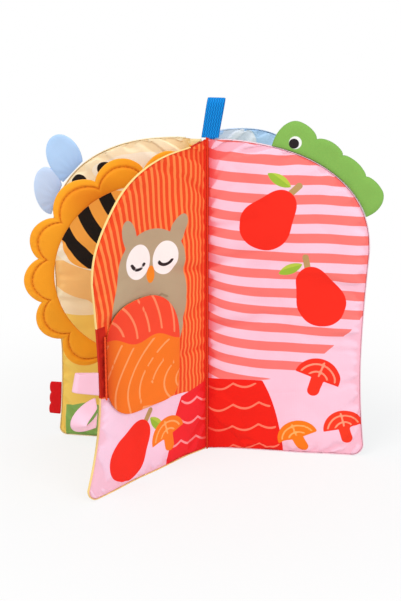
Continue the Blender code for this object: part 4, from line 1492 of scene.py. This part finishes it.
@dataclass
class FoldSeam:
    """The sewn fold between two pages: a cloth bead with a row of stitches on it."""

    name: str
    body: str
    form: PageForm
    u: float
    depth: float
    span: tuple[float, float]
    colour: str
    radius: float = 0.0007
    bare_end: float = 0.0016

    def build(self, thread: Material) -> None:
        """Build the bead and its stitches.

        Args:
            thread: The thread's material.
        """
        z = np.linspace(self.span[0], self.span[1], 140)
        turn = np.linspace(0, 2 * math.pi, 12, endpoint=False)
        wobble = 1.0 + 0.10 * np.sin(2 * math.pi * z / 0.0031)
        radius = self.radius * wobble
        u = self.u + radius[:, None] * np.cos(turn)[None, :]
        depth = self.depth + radius[:, None] * np.sin(turn)[None, :]
        rings = self.form.place(u, depth, np.repeat(z[:, None], len(turn), 1))
        bead = tube(f"{self.name}_cloth_bead", rings, 0.004)
        # Cotton rolled into a bead: matt, with fine threads.
        cloth = Cloth(f"cotton_bead_{self.name}", self.colour, thread=0.8)
        dress(bead, cloth.build(), self.body, "orange_thread", self.name)
        offsets = ((self.u - self.radius * 0.8, self.depth), (self.u + self.radius * 0.8, self.depth))
        z = np.linspace(self.span[0] + self.bare_end, self.span[1] - self.bare_end, 140)
        paths = [self.form.place(np.full_like(z, a), np.full_like(z, b), z) for a, b in offsets]
        row = Stitching(0.0025, 0.0032, 0.00028).sew(f"{self.name}_stitches", paths, thread)
        dress(row, thread, self.body, "orange_thread")


@dataclass
class FoldGusset:
    """The cloth that joins the two middle pages behind their bead, on an arc about the fold."""

    right: PageForm
    left: PageForm
    half: float = 0.00014
    tuck: float = 0.0004
    forward: float = 0.0003
    top: float = 0.2105
    colour: str = "F0441C"

    def plan(self, radius: float, angle: Array) -> tuple[Array, Array]:
        """Distance out and depth of places on an arc about the fold."""
        return radius * np.cos(angle), radius * np.sin(angle)

    def build(self) -> None:
        """Build the strip on an arc about the fold, from one page's middle to the other's."""
        radius = float(self.right.middle(0.0)) - self.forward
        first, last = math.pi / 2, math.radians(270 + self.left.azimuth)
        tuck = self.tuck / radius
        angle = np.linspace(first - tuck, last + tuck, 13)[None, :]
        z = np.linspace(0.0008, self.top, 120)[:, None]
        angle, z = np.broadcast_arrays(angle, z)
        faces = [self.right.place(*self.plan(radius + side * self.half, angle), z) for side in (-1, 1)]
        piece = grid_solid("middle_fold_cloth_gusset", faces[0], faces[1], np.stack([angle * radius, z], -1))
        # Plain red cotton, which glows a little in the depth of the fold.
        piece.data.materials.append(Cloth("red_cotton_gusset", self.colour, thread=0.8).build())
        start, end = (self.right.place(*self.plan(radius, np.asarray(turn)), np.asarray(0.1))
                      for turn in (first, last))
        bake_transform(piece)
        LOG.info("%s bends between the middle pages", piece.name)


@dataclass
class Wing:
    """A petal tab in the left cover's arch."""

    name: str
    form: PageForm
    foot: tuple[float, float]
    axes: tuple[float, float]
    rise: float
    shift: float
    tilt: float
    low_base: float = 0.0
    tab_gap: float = 0.0005
    axis_rise: float = 0.0005
    points: int = 90

    def frame(self) -> tuple[Array, Array, Array]:
        """Foot, direction along it and direction outwards, in the page's plane.

        Returns:
            Three places or directions, each as u and z.
        """
        first, second = (np.array([self.form.arch_u(z), z]) for z in self.foot)
        along = (second - first) / np.linalg.norm(second - first)
        out = np.array([along[1], -along[0]])
        heights = np.linspace(self.foot[0], self.foot[1], 17)
        bulge = max(float((np.array([self.form.arch_u(z), z]) - first) @ out) for z in heights)
        return (first + second) / 2 + out * (max(bulge, 0.0) + self.tab_gap + self.axis_rise), along, out

    def outline(self) -> Array:
        """The petal about its foot.

        Returns:
            Points across and up from its foot.
        """
        angle = math.radians(self.tilt)
        long_axis, short_axis = self.axes
        cos_part, sin_part = long_axis * math.cos(angle), short_axis * math.sin(angle)
        span, lean = math.hypot(cos_part, sin_part), math.atan2(sin_part, cos_part)
        reach = math.acos(max(-1.0, (-self.axis_rise - self.rise) / span))
        turn = np.linspace(lean - reach, lean + reach, self.points)
        x = long_axis * np.cos(turn) * math.sin(angle) - short_axis * np.sin(turn) * math.cos(angle)
        z = long_axis * np.cos(turn) * math.cos(angle) + short_axis * np.sin(turn) * math.sin(angle)
        curve = np.stack([self.shift + x, self.rise + z], 1)
        curve[:, 0] -= self.low_base * np.exp(-np.clip(curve[:, 1], 0, None) / 0.005) * (curve[:, 0] < 0)
        foot = np.linspace(curve[-1], curve[0], 14)[1:-1]
        return np.concatenate([curve, foot])

    def build(self, cloth: Material) -> None:
        """Build the petal.

        Args:
            cloth: Its velour.
        """
        foot, along, out = self.frame()
        middle = float(self.form.middle(np.asarray(foot[0])))

        def place(x: Array, depth: Array, z: Array) -> Array:
            """From the petal's plane to the row frame."""
            return self.form.place(foot[0] + x * along[0] + z * out[0], middle + depth,
                                   foot[1] + x * along[1] + z * out[1])

        def half(x: Array, z: Array, inset: Array) -> Array:
            """Thin at the seam, with gathers that fan out from the foot."""
            swell = np.sqrt(1.0 - (1.0 - np.clip(inset / 0.0035, 0, 1)) ** 2)
            fan = 0.5 + 0.5 * np.sin(np.arctan2(x, z + 0.004) * 15)
            gather = fan * np.exp(-np.clip(z, 0, None) / 0.006) * 0.55
            slow = 0.25 * np.clip(ripple(x, z, 0.014, 12), 0, 1)
            return 0.00042 + 0.00075 * swell * (1 - gather - slow)

        def values(x: Array, z: Array) -> dict[str, Array]:
            """Painted shade where the cloth is drawn in at the foot."""
            return {"crease": 0.75 * np.exp(-np.clip(z + 0.0005, 0, None) / 0.0055)}

        piece = star_solid(f"{self.name}_petal", self.outline(), place, half, 22, values)
        dress(piece, cloth, self.name, "light_blue_velour", self.name)


@dataclass
class RedTab:
    """The three-scallop felt tab in the left cover's edge."""

    form: PageForm
    foot_z: float = 0.0150
    length: float = 0.0234
    reach: float = 0.0074
    bump_rise: float = 0.0013
    bumps: int = 3
    lead: float = 0.0010

    def build(self, cloth: Material) -> None:
        """Build the tab.

        Args:
            cloth: Its felt.
        """
        radius = self.length / self.bumps / 2
        z = np.linspace(0.0002, self.length - 0.0002, 100)
        local = ((z % (2 * radius)) - radius) / radius
        edge = self.reach - self.bump_rise + np.sqrt(np.clip(1.0 - local ** 2, 0, None)) * self.bump_rise
        u = -0.0005 + np.linspace(0, 1, 26)[None, :] * (edge[:, None] + 0.0005)
        zz = np.repeat(z[:, None], 26, 1)
        line = np.concatenate([[[-0.0005, 0]], np.stack([edge, z], 1), [[-0.0005, self.length]]])
        inset = outline_distance(u, zz, line)
        half = 0.00045 + 0.00060 * np.sqrt(1 - (1 - np.clip(inset / 0.0018, 0, 1)) ** 2)
        middle = float(self.form.middle(np.asarray(self.form.width + self.lead)))
        hinge = np.minimum(self.form.edge(self.foot_z + zz), self.form.width) + self.lead
        piece = grid_solid("red_tab_felt", self.form.place(hinge + u, middle - half, self.foot_z + zz),
                           self.form.place(hinge + u, middle + half, self.foot_z + zz), np.stack([u, zz], -1))
        dress(piece, cloth, "red_tab", "red_felt", "red_tab")


@dataclass
class GreenTab:
    """The padded four-bump tab round the right page's arch, with its eye."""

    form: PageForm
    span: tuple[float, float] = (0.2065, 0.1635)
    bump_shares: tuple[float, ...] = (0.0, 0.334, 0.547, 0.753, 1.0)
    peaks: tuple[float, ...] = (0.0184, 0.0152, 0.0142, 0.0156)
    valley: float = 0.0118
    gap: float = 0.0003
    half: float = 0.0019
    along: int = 190
    across: int = 34

    def height(self, share: float) -> float:
        """How far the tab stands off the arch at a share of its length.

        Args:
            share: Share of the tab's length.

        Returns:
            The height.
        """
        for peak, low, high in zip(self.peaks, self.bump_shares, self.bump_shares[1:]):
            if share <= high or high == self.bump_shares[-1]:
                inside = (share - low) / (high - low)
                left = 0.0 if low == self.bump_shares[0] else self.valley
                right = 0.0 if high == self.bump_shares[-1] else self.valley
                floor = left if inside < 0.5 else right
                return floor + (peak - floor) * max(math.sin(math.pi * inside), 0.0) ** 0.5
        return 0.0

    def build(self, cloth: Cloth) -> None:
        """Build the two faces of the tab.

        Args:
            cloth: Its velour.
        """
        shares = 0.5 - 0.5 * np.cos(np.linspace(0.055, math.pi - 0.055, self.along))
        shares = 0.35 * shares + 0.65 * np.linspace(shares[0], shares[-1], self.along)
        heights = np.array([max(self.height(s), 0.0016) for s in shares])
        rows = np.linspace(0, 1, self.across)
        u, z = np.zeros((2, self.along, self.across))
        for i, (share, height) in enumerate(zip(shares, heights)):
            for j, row in enumerate(rows):
                u[i, j], z[i, j] = self.form.arch_point(share, *self.span, self.gap + row * height)
        rim = np.stack([u[:, -1], z[:, -1]], 1)
        foot = np.stack([u[:, 0], z[:, 0]], 1)
        inset = outline_distance(u, z, rim)
        base = outline_distance(u, z, foot)
        swell = np.sqrt(1 - (1 - np.clip(inset / 0.0042, 0, 1)) ** 2)
        sunk = np.sqrt(1 - (1 - np.clip(base / 0.0030, 0, 1)) ** 2)
        slow = 0.22 * np.clip(ripple(u, z, 0.016, 31), 0, 1)
        half = 0.0006 + (self.half - 0.0006) * np.minimum(swell, 0.45 + 0.55 * sunk) * (1 - slow)
        eye_u, eye_z = self.form.arch_point(0.185, *self.span, 0.0056)
        x, y = u / MM, z / MM
        white = disc(x, y, (eye_u / MM + 0.5, eye_z / MM + 0.4), 3.9)
        dark = disc(x, y, (eye_u / MM - 0.3, eye_z / MM - 0.2), 3.1)
        # Painted shade: darker at the foot and along the rim.
        crease = np.clip(0.4 * np.exp(-base / 0.0014) + 0.12 * np.exp(-inset / 0.0008), 0, 0.8)
        middle = self.form.middle(u)
        material = cloth.build()
        plain = np.full_like(white, 9.0)
        for sign, side, inks in ((-1, "front", (white, dark)), (1, "back", (plain, plain))):
            piece = grid_solid(f"green_tab_{side}_pad", self.form.place(u, middle + sign * half, z),
                               self.form.place(u, middle + sign * PARTING, z), np.stack([u, z], -1),
                               {"ink_0": inks[0], "ink_1": inks[1], "crease": crease})
            dress(piece, material, "right_page", "green_velour", f"green_tab_{side}")


@dataclass
class LeafFlap:
    """The leaf-shaped flap on the left page, with its hinge stitching."""

    form: PageForm
    hinge: float = 0.090
    centre: tuple[float, float] = (0.059, 0.0855)
    half_width: float = 0.0315
    half_height: float = 0.037
    exponents: tuple[float, ...] = (2.8, 2.4, 7.0, 2.6)
    reach: float = 0.0009
    front_depth: float = -0.0009
    back_depth: float = 0.0010

    def outline(self) -> Array:
        """The leaf's outline in the page's plane.

        Returns:
            Points u and z.
        """
        points = []
        for quarter, exponent in enumerate(self.exponents):
            for step in range(34):
                angle = math.pi / 2 * (quarter + step / 34)
                cos_part, sin_part = math.cos(angle), math.sin(angle)
                u = math.copysign(abs(cos_part) ** (2 / exponent), cos_part) * self.half_width
                z = math.copysign(abs(sin_part) ** (2 / exponent), sin_part) * self.half_height
                points.append((min(self.centre[0] + u, self.hinge - self.reach), self.centre[1] + z))
        return np.array(points)

    def build(self, thread: Material) -> None:
        """Build the flap's front and back and its hinge.

        Args:
            thread: The thread's material.
        """
        middle = (self.front_depth + self.back_depth) / 2
        full = (self.back_depth - self.front_depth) / 2

        def place(x: Array, depth: Array, z: Array) -> Array:
            """From the flap's plane to the row frame."""
            return self.form.place(x, middle + depth, z)

        def half(x: Array, z: Array, inset: Array) -> Array:
            """Full in the middle and thin at the seam, with slow creases."""
            swell = np.sqrt(1 - (1 - np.clip(inset / 0.005, 0, 1)) ** 2)
            pull = (0.5 + 0.5 * np.sin((x + z) / 0.0016)) * np.exp(-inset / 0.003) * 0.3
            slow = 0.4 * np.clip(ripple(x, z, 0.030, 41), 0, 1)
            return full * 0.35 + full * 0.6 * swell * (1 - slow - pull)

        def values(x: Array, z: Array) -> dict[str, Array]:
            """The print and the painted shade at the hinge."""
            inks = flap_print(x / MM, z / MM)
            shade = 0.9 * np.exp(-np.clip(self.hinge - x, 0, None) / 0.0055)
            return {**{f"ink_{i}": ink.shape for i, ink in enumerate(inks)}, "crease": shade}

        inks = tuple(ink.colour for ink in flap_print(np.zeros(1), np.zeros(1)))
        # Printed cotton over crinkle film: matt, with painted shade at its hinge.
        cloth = Cloth("printed_cotton_leaf_flap", "F84A2C", crease="C85A40", inks=inks)
        piece = star_solid("leaf_flap_printed_pad", self.outline(), place, half, 46, values, -PARTING)
        dress(piece, cloth.build(), "leaf_flap", "orange_flap_cotton", "leaf_flap_front",
              "leaf_flap_crinkle_film")
        # Plain cotton of the flap's back: matt orange, with the same painted shade at its hinge.
        plain = Cloth("plain_cotton_leaf_flap", "FB8A2E", crease="DC8060")

        def back_place(x: Array, depth: Array, z: Array) -> Array:
            """The same, turned over."""
            return self.form.place(x, middle - depth, z)

        back = star_solid("leaf_flap_backing_pad", self.outline(), back_place, half, 24, values, -PARTING)
        dress(back, plain.build(), "leaf_flap", "orange_flap_cotton", "leaf_flap_back")
        seam = FoldSeam("leaf_flap_stitching", "left_page", self.form, self.hinge, 0.0004,
                        (self.centre[1] - 0.0203, self.centre[1] + 0.0203), "F4521E", 0.00055)
        seam.build(thread)


def ribbon_solid(name: str, points: Array, across: Array, thickness: float) -> Object:
    """A ribbon from its middle line and its width directions.

    Args:
        name: The piece's name.
        points: Middle of the ribbon at each step, in the row frame.
        across: From one edge to the other at each step.
        thickness: The ribbon's thickness.

    Returns:
        The linked object.
    """
    along = np.gradient(points, axis=0)
    along /= np.linalg.norm(along, axis=1)[:, None]
    width = np.linalg.norm(across, axis=1)
    normal = np.cross(along, across / width[:, None])
    normal /= np.linalg.norm(normal, axis=1)[:, None]
    spread = np.linspace(-0.5, 0.5, 15)
    middle = points[:, None, :] + across[:, None, :] * spread[None, :, None]
    edge = 1.0 - 0.35 * np.exp(-(0.5 - np.abs(spread)) / 0.04)
    offset = normal[:, None, :] * (thickness / 2 * edge)[None, :, None]
    run = run_length(points)
    uv = np.stack([spread[None, :] * width[:, None], np.repeat(run[:, None], 15, 1)], -1)
    return grid_solid(name, middle + offset, middle - offset, uv)


def hairpin(reach: float, bulge: float, thickness: float, steps: int) -> Array:
    """A folded ribbon's path: out from its foot, round the fold and back.

    Args:
        reach: From its foot to the outside of its fold.
        bulge: Half width of its fold.
        thickness: The ribbon's thickness.
        steps: Points on each leg.

    Returns:
        Points out and across, one per row.
    """
    pinch = thickness / 2 + 0.00015
    turn = reach - bulge - thickness / 2
    share = np.linspace(0, 1, steps)
    leg = np.stack([turn * share, -pinch - (bulge - pinch) * smooth(share)], 1)
    angle = np.linspace(0, math.pi, steps)[1:-1]
    bend = np.stack([turn + bulge * np.sin(angle), -bulge * np.cos(angle)], 1)
    foot = np.array([[-0.0005, -pinch]])
    back = leg[::-1] * np.array([1, -1])
    return np.concatenate([foot, leg, bend, back, foot * np.array([1, -1])])


@dataclass
class Ribbons:
    """The two satin ribbons in the left page's edge and the tape loop over the middle fold."""

    left: PageForm
    right: PageForm
    lead: float = 0.0013
    satin_thickness: float = 0.0006
    loop_width: float = 0.0088
    loop_pinch: float = 0.0014
    tape_width: float = 0.0106
    tape_reach: float = 0.0242
    tape_foot: float = 0.2113

    def folded(self, satin: Material) -> None:
        """The folded ribbon tab.

        Args:
            satin: Its cloth.
        """
        foot_z, width, reach, lift, slant = 0.0690, 0.0146, 0.0200, 0.0085, 0.16
        hinge = float(self.left.edge(np.asarray(foot_z + width))) + self.lead
        path = hairpin(reach, 0.0017, self.satin_thickness, 22)
        middle = float(self.left.middle(np.asarray(hinge)))
        rise = lift * np.clip(path[:, 0], 0, None) / reach
        low, high = (self.left.place(hinge + path[:, 0] * (1.0 - slant * part / width), middle - path[:, 1],
                                     foot_z + part + rise * (1.0 - 0.45 * part / width))
                     for part in (0.0, width))
        piece = ribbon_solid("upper_ribbon_satin", (low + high) / 2, high - low, self.satin_thickness)
        dress(piece, satin, "upper_ribbon", "pink_satin_ribbon", "upper_ribbon")

    def open_loop(self, satin: Material) -> None:
        """The open ribbon loop, turned so that its hole shows.

        Args:
            satin: Its cloth.
        """
        top, foot, reach = 0.0672, 0.0475, 0.0175
        hinge = float(self.left.edge(np.asarray(foot))) + self.lead
        middle = float(self.left.middle(np.asarray(hinge))) + 0.0005
        angle = np.linspace(0, math.pi, 60)
        bow = np.sin(angle)
        band = self.loop_pinch + (self.loop_width - self.loop_pinch) * bow ** 0.65
        pinched = (-0.5, 0.72, foot + 0.0118, 0.0018, 0.0048)
        open_side = (0.5, 1.0, (top + foot) / 2, (top - foot) / 2, 0.0030)
        near, far = (self.left.place(hinge - 0.0005 + (reach - 0.0003) * share * bow, middle + part * band,
                                     centre - half * np.cos(angle) - drop * bow)
                     for part, share, centre, half, drop in (pinched, open_side))
        piece = ribbon_solid("lower_ribbon_satin", (near + far) / 2, far - near, self.satin_thickness)
        dress(piece, satin, "lower_ribbon", "pink_satin_ribbon", "lower_ribbon")

    def hanging(self, tape: Material) -> None:
        """The woven tape loop.

        Args:
            tape: Its weave.
        """
        path = hairpin(self.tape_reach, 0.0030, 0.0008, 26)
        depth = float(self.right.middle(np.asarray(self.right.start)))
        z = self.tape_foot + path[:, 0]
        lean = 0.0040 * np.clip(path[:, 0], 0, None) / self.tape_reach
        ends = []
        for part in (-self.tape_width / 2, self.tape_width / 2):
            ends.append(np.stack([0.0012 + part + lean, depth + path[:, 1], z], 1))
        piece = ribbon_solid("hanging_loop_tape", (ends[0] + ends[1]) / 2, ends[1] - ends[0], 0.0009)
        dress(piece, tape, "hanging_loop", "blue_woven_tape", "hanging_loop")
        rise = np.linspace(0.2099, 0.2116, 9)
        ends = [np.stack([np.full_like(rise, x), np.full_like(rise, depth), rise], 1)
                for x in (0.0006, 0.0040)]
        sewn = ribbon_solid("tape_sewn_end", (ends[0] + ends[1]) / 2, ends[1] - ends[0], 0.0006)
        dress(sewn, tape, "right_page", "blue_woven_tape")


def facing(at: Sequence[float], target: Sequence[float]) -> Any:
    """The turn that points a lamp or a camera from one place to another."""
    return (Vector(target) - Vector(at)).to_track_quat("-Z", "Y").to_euler()


@dataclass
class Studio:
    """The pale floor, the soft light and the camera."""

    camera_at: tuple[float, float, float] = (0.0998, -0.7925, 0.3957)
    aim: tuple[float, float, float] = (-0.00446, -0.00059, 0.105)
    lens: float = 79.7
    surround: float = 0.68

    def floor(self) -> None:
        """A wide white floor that keeps the book's shadow."""
        reach = 6.0
        corners = [(-reach, -reach, 0), (reach, -reach, 0), (reach, reach, 0), (-reach, reach, 0)]
        mesh = bpy.data.meshes.new("studio_floor")
        mesh.from_pydata(corners, [], [(0, 1, 2, 3)])
        floor = put("studio_floor", mesh)
        # White background paper: it takes the book's soft shadow close by and turns pure white further out.
        material = bpy.data.materials.new("white_paper_sweep")
        material.use_nodes = True
        tree = material.node_tree
        tree.nodes.clear()
        matte = add(tree, "ShaderNodeBsdfDiffuse", None, {"Color": (0.80, 0.80, 0.80, 1.0)})
        glow = add(tree, "ShaderNodeEmission", None, {"Color": (1, 1, 1, 1), "Strength": 1.0})
        ray = add(tree, "ShaderNodeLightPath")
        place = add(tree, "ShaderNodeTexCoord")
        away = add(tree, "ShaderNodeVectorMath", {"operation": "LENGTH"}, {"Vector": place.outputs["Object"]})
        fade = add(tree, "ShaderNodeMapRange", {"interpolation_type": "SMOOTHSTEP"},
                   {"Value": away.outputs["Value"], "From Min": 0.09, "From Max": 0.30,
                    "To Min": 0.76, "To Max": 1.0})
        share = add(tree, "ShaderNodeMath", {"operation": "MULTIPLY"},
                    {"Value": ray.outputs["Is Camera Ray"], "Value_001": fade.outputs["Result"]})
        mixed = add(tree, "ShaderNodeMixShader", None,
                    {"Fac": share.outputs["Value"], "Shader": matte.outputs["BSDF"],
                     "Shader_001": glow.outputs["Emission"]})
        add(tree, "ShaderNodeOutputMaterial", None, {"Surface": mixed.outputs["Shader"]})
        floor.data.materials.append(material)

    def lights(self) -> None:
        """A white surround and two big soft lamps."""
        world = bpy.data.worlds.new("white_surround")
        bpy.context.scene.world = world
        world.use_nodes = True
        tree = world.node_tree
        background = tree.nodes["Background"]
        ray = add(tree, "ShaderNodeLightPath")
        seen = ray.outputs["Is Camera Ray"]
        for kind in ("Is Glossy Ray", "Is Transmission Ray"):
            seen = add(tree, "ShaderNodeMath", {"operation": "MAXIMUM"},
                       {"Value": seen, "Value_001": ray.outputs[kind]}).outputs["Value"]
        level = add(tree, "ShaderNodeMath", {"operation": "MAXIMUM"},
                    {"Value": seen, "Value_001": self.surround})
        tree.links.new(level.outputs["Value"], background.inputs["Strength"])
        background.inputs["Color"].default_value = (1, 1, 1, 1)
        for name, at, size, power in (("key", (-0.5, -0.8, 1.7), 0.7, 12.0),
                                      ("fill", (1.1, -1.0, 1.0), 1.0, 8.5)):
            lamp = bpy.data.lights.new(f"{name}_lamp", "AREA")
            lamp.size, lamp.energy = size, power
            holder = put(f"{name}_lamp", lamp)
            holder.location = at
            holder.rotation_euler = facing(at, (0, 0, 0.1))

    def camera(self) -> None:
        """The photograph's view, for an image of 401 by 601."""
        data = bpy.data.cameras.new("photo_view")
        data.sensor_fit = "VERTICAL"
        data.sensor_height = 36.0
        data.lens = self.lens
        camera = put("photo_view", data)
        camera.location = self.camera_at
        camera.rotation_euler = facing(self.camera_at, self.aim)
        bpy.context.scene.camera = camera

    def build(self) -> None:
        """Set up the whole stage."""
        self.floor()
        self.lights()
        self.camera()
        bpy.context.scene.view_settings.view_transform = "Standard"


@dataclass
class ClothBook:
    """The whole book, page by page, in the frame's own places."""

    joints: list[dict[str, Any]] = field(default_factory=list)

    def origin(self, joint: str) -> tuple[float, float, float]:
        """Where a fold's axis stands, from the frame."""
        found = next(j for j in self.joints if j["name"] == joint)
        return (found["pos_m"][0], found["pos_m"][1], 0.0)

    def forms(self) -> dict[str, PageForm]:
        """Every page's pattern and place.

        Returns:
            The forms by their page's name.
        """
        half = 0.0019
        right = PageForm("right_page", Side.RIGHT, 0.1015, 0.210, half, 0.0, (0.0, 0.0, 0.0),
                         waist=0.0025, flare=0.0025, top_lift=0.0007, top_decay=0.0035)
        left = PageForm("left_page", Side.LEFT, 0.0970, 0.2068, half, -125.0, (0.0, 0.0, 0.0),
                        waist=0.0040, flare=0.0110, arch_exponent=2.6, shoulder=0.0060, top_lift=0.0036,
                        top_decay=0.0086)
        cover = PageForm("right_cover", Side.RIGHT, 0.0970, 0.2135, half, 50.0,
                         self.origin("right_cover_fold"), right)
        ring = PageForm("ring_page", Side.LEFT, 0.0915, 0.210, 0.0016, -162.0,
                        self.origin("ring_page_fold"), left)
        back = PageForm("left_cover", Side.LEFT, 0.0915, 0.210, half, -183.5,
                        self.origin("left_cover_fold"), ring, waist=0.0032, full_above=0.7, flare=0.0010,
                        flare_height=0.030, corner=0.005)
        return {form.name: form for form in (right, left, cover, ring, back)}

    def build(self) -> None:
        """Build and dress every piece."""
        forms = self.forms()
        right, left, ring = forms["right_page"], forms["left_page"], forms["ring_page"]
        cover, left_cover = forms["right_cover"], forms["left_cover"]
        plain = dotted("FFDF9A", 14.0, 1.9)
        pages = (
            PaddedPage(right, right_page_print, dotted("4FA3A8", 14.0, 1.9), "FCCDE0", "2E8288",
                       ("coral_print_cotton", "teal_cotton"), shade="EE8484", edge_colour="F4D4DE", seed=3),
            PaddedPage(cover, right_cover_print, dotted("57B0B8", 16.0, 2.4), "BFE0FF", "2E8F9A",
                       ("pale_blue_cotton", "teal_cover_cotton"), fine=96, shade="C4D8F4",
                       edge_colour="D4E6FE", seed=51),
            PaddedPage(left, left_page_print, plain, "F24A1C", "FFCE5E",
                       ("red_print_cotton", "yellow_cotton"), shade="F07C66", edge_colour="FFDC8E",
                       edge_rule=left_edge_print, seed=77),
            PaddedPage(left_cover, left_cover_print, plain, "FFDA6C", "FFC44E",
                       ("cream_print_cotton", "yellow_cover_cotton"), shade="F0D8A8",
                       edge_colour="FFEFC8", seed=99),
        )
        for page in pages:
            page.build()
        # Spun polyester thread: small, even and slightly brighter than the cloth that it lies on.
        orange_thread = Cloth("polyester_thread_orange", "D83A1C", thread=0.5, thread_depth=0.08).build()
        ring_thread = Cloth("polyester_thread_amber", "D87A10", thread=0.5, thread_depth=0.08).build()
        # Knitted velour: a short pile that softens every edge and lightens towards the rim, with painted
        # shade in its channel, by its hole and on the lobe that leans away.
        velour = Cloth("orange_velour_pile", "FFAA20", roughness=0.7, sheen=0.12, nap=0.10, mottle=0.08,
                       crease="E6B478")
        RingPage(ring).build(velour, ring_thread)
        seams = (
            FoldSeam("middle_fold_stitching", "right_page", right, -0.0002, 0.0003, (0.0, 0.2085),
                     "E63A16", 0.0005),
            FoldSeam("right_fold_stitching", "right_page", right, right.fold_step, right.next_fold_depth(),
                     (0.004, 0.206), "7FB4C4"),
            FoldSeam("left_fold_stitching", "left_page", left, left.fold_step, left.next_fold_depth(),
                     (0.004, 0.2035), "F08A1A"),
            FoldSeam("ring_fold_stitching", "ring_page", ring, ring.fold_step, ring.next_fold_depth(),
                     (0.004, 0.206), "F6B548"),
        )
        for seam in seams:
            seam.build(orange_thread)
        FoldGusset(right, left).build()
        # The same velour in green, with a printed eye and painted shade at its foot and rim.
        GreenTab(right).build(Cloth("green_velour_pile", "84B654", roughness=0.9, sheen=0.14, nap=0.16,
                                    crease="A8C090", inks=("F4F6F2", "231A1C")))
        LeafFlap(left).build(orange_thread)
        # Fine velour of the petals in two light blues: almost matt, with painted shade where it is drawn in
        # at the foot.
        blue, pale = (Cloth(f"{shade}_blue_velour_pile", colour, roughness=0.9, sheen=0.1, nap=0.12,
                            crease="D2E0F8").build()
                      for shade, colour in (("sky", "B6D8FF"), ("pale", "CCE1FF")))
        Wing("upper_wing", left_cover, (0.178, 0.1905), (0.0150, 0.0112), 0.0096, 0.0022, 25.0,
             low_base=0.0024).build(blue)
        Wing("lower_wing", left_cover, (0.157, 0.1755), (0.0155, 0.0095), 0.0062, 0.0020, 62.0).build(pale)
        # Wool felt: deep even red without a weave.
        RedTab(left_cover).build(Cloth("red_wool_felt", "E01016", roughness=0.9, sheen=0.08,
                                       nap=0.12).build())
        # Satin ribbon: smoother than the cottons, with a soft gloss along its bends.
        satin = Cloth("pink_satin_weave", "FBC8DA", roughness=0.42, thread=0.9, thread_depth=0.03,
                      mottle=0.03).build()
        # Woven tape: saturated blue, with painted highlights on the raised floats of its chevron.
        tape = WovenTape().build()
        ribbons = Ribbons(left, right)
        ribbons.folded(satin)
        ribbons.open_loop(satin)
        ribbons.hanging(tape)


def main() -> None:
    """Load the frame and build the book around it."""
    logging.basicConfig(level=logging.INFO, format="%(message)s")
    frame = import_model()
    Studio().build()
    ClothBook(frame["joints"]).build()


if __name__ == "__main__":
    main()
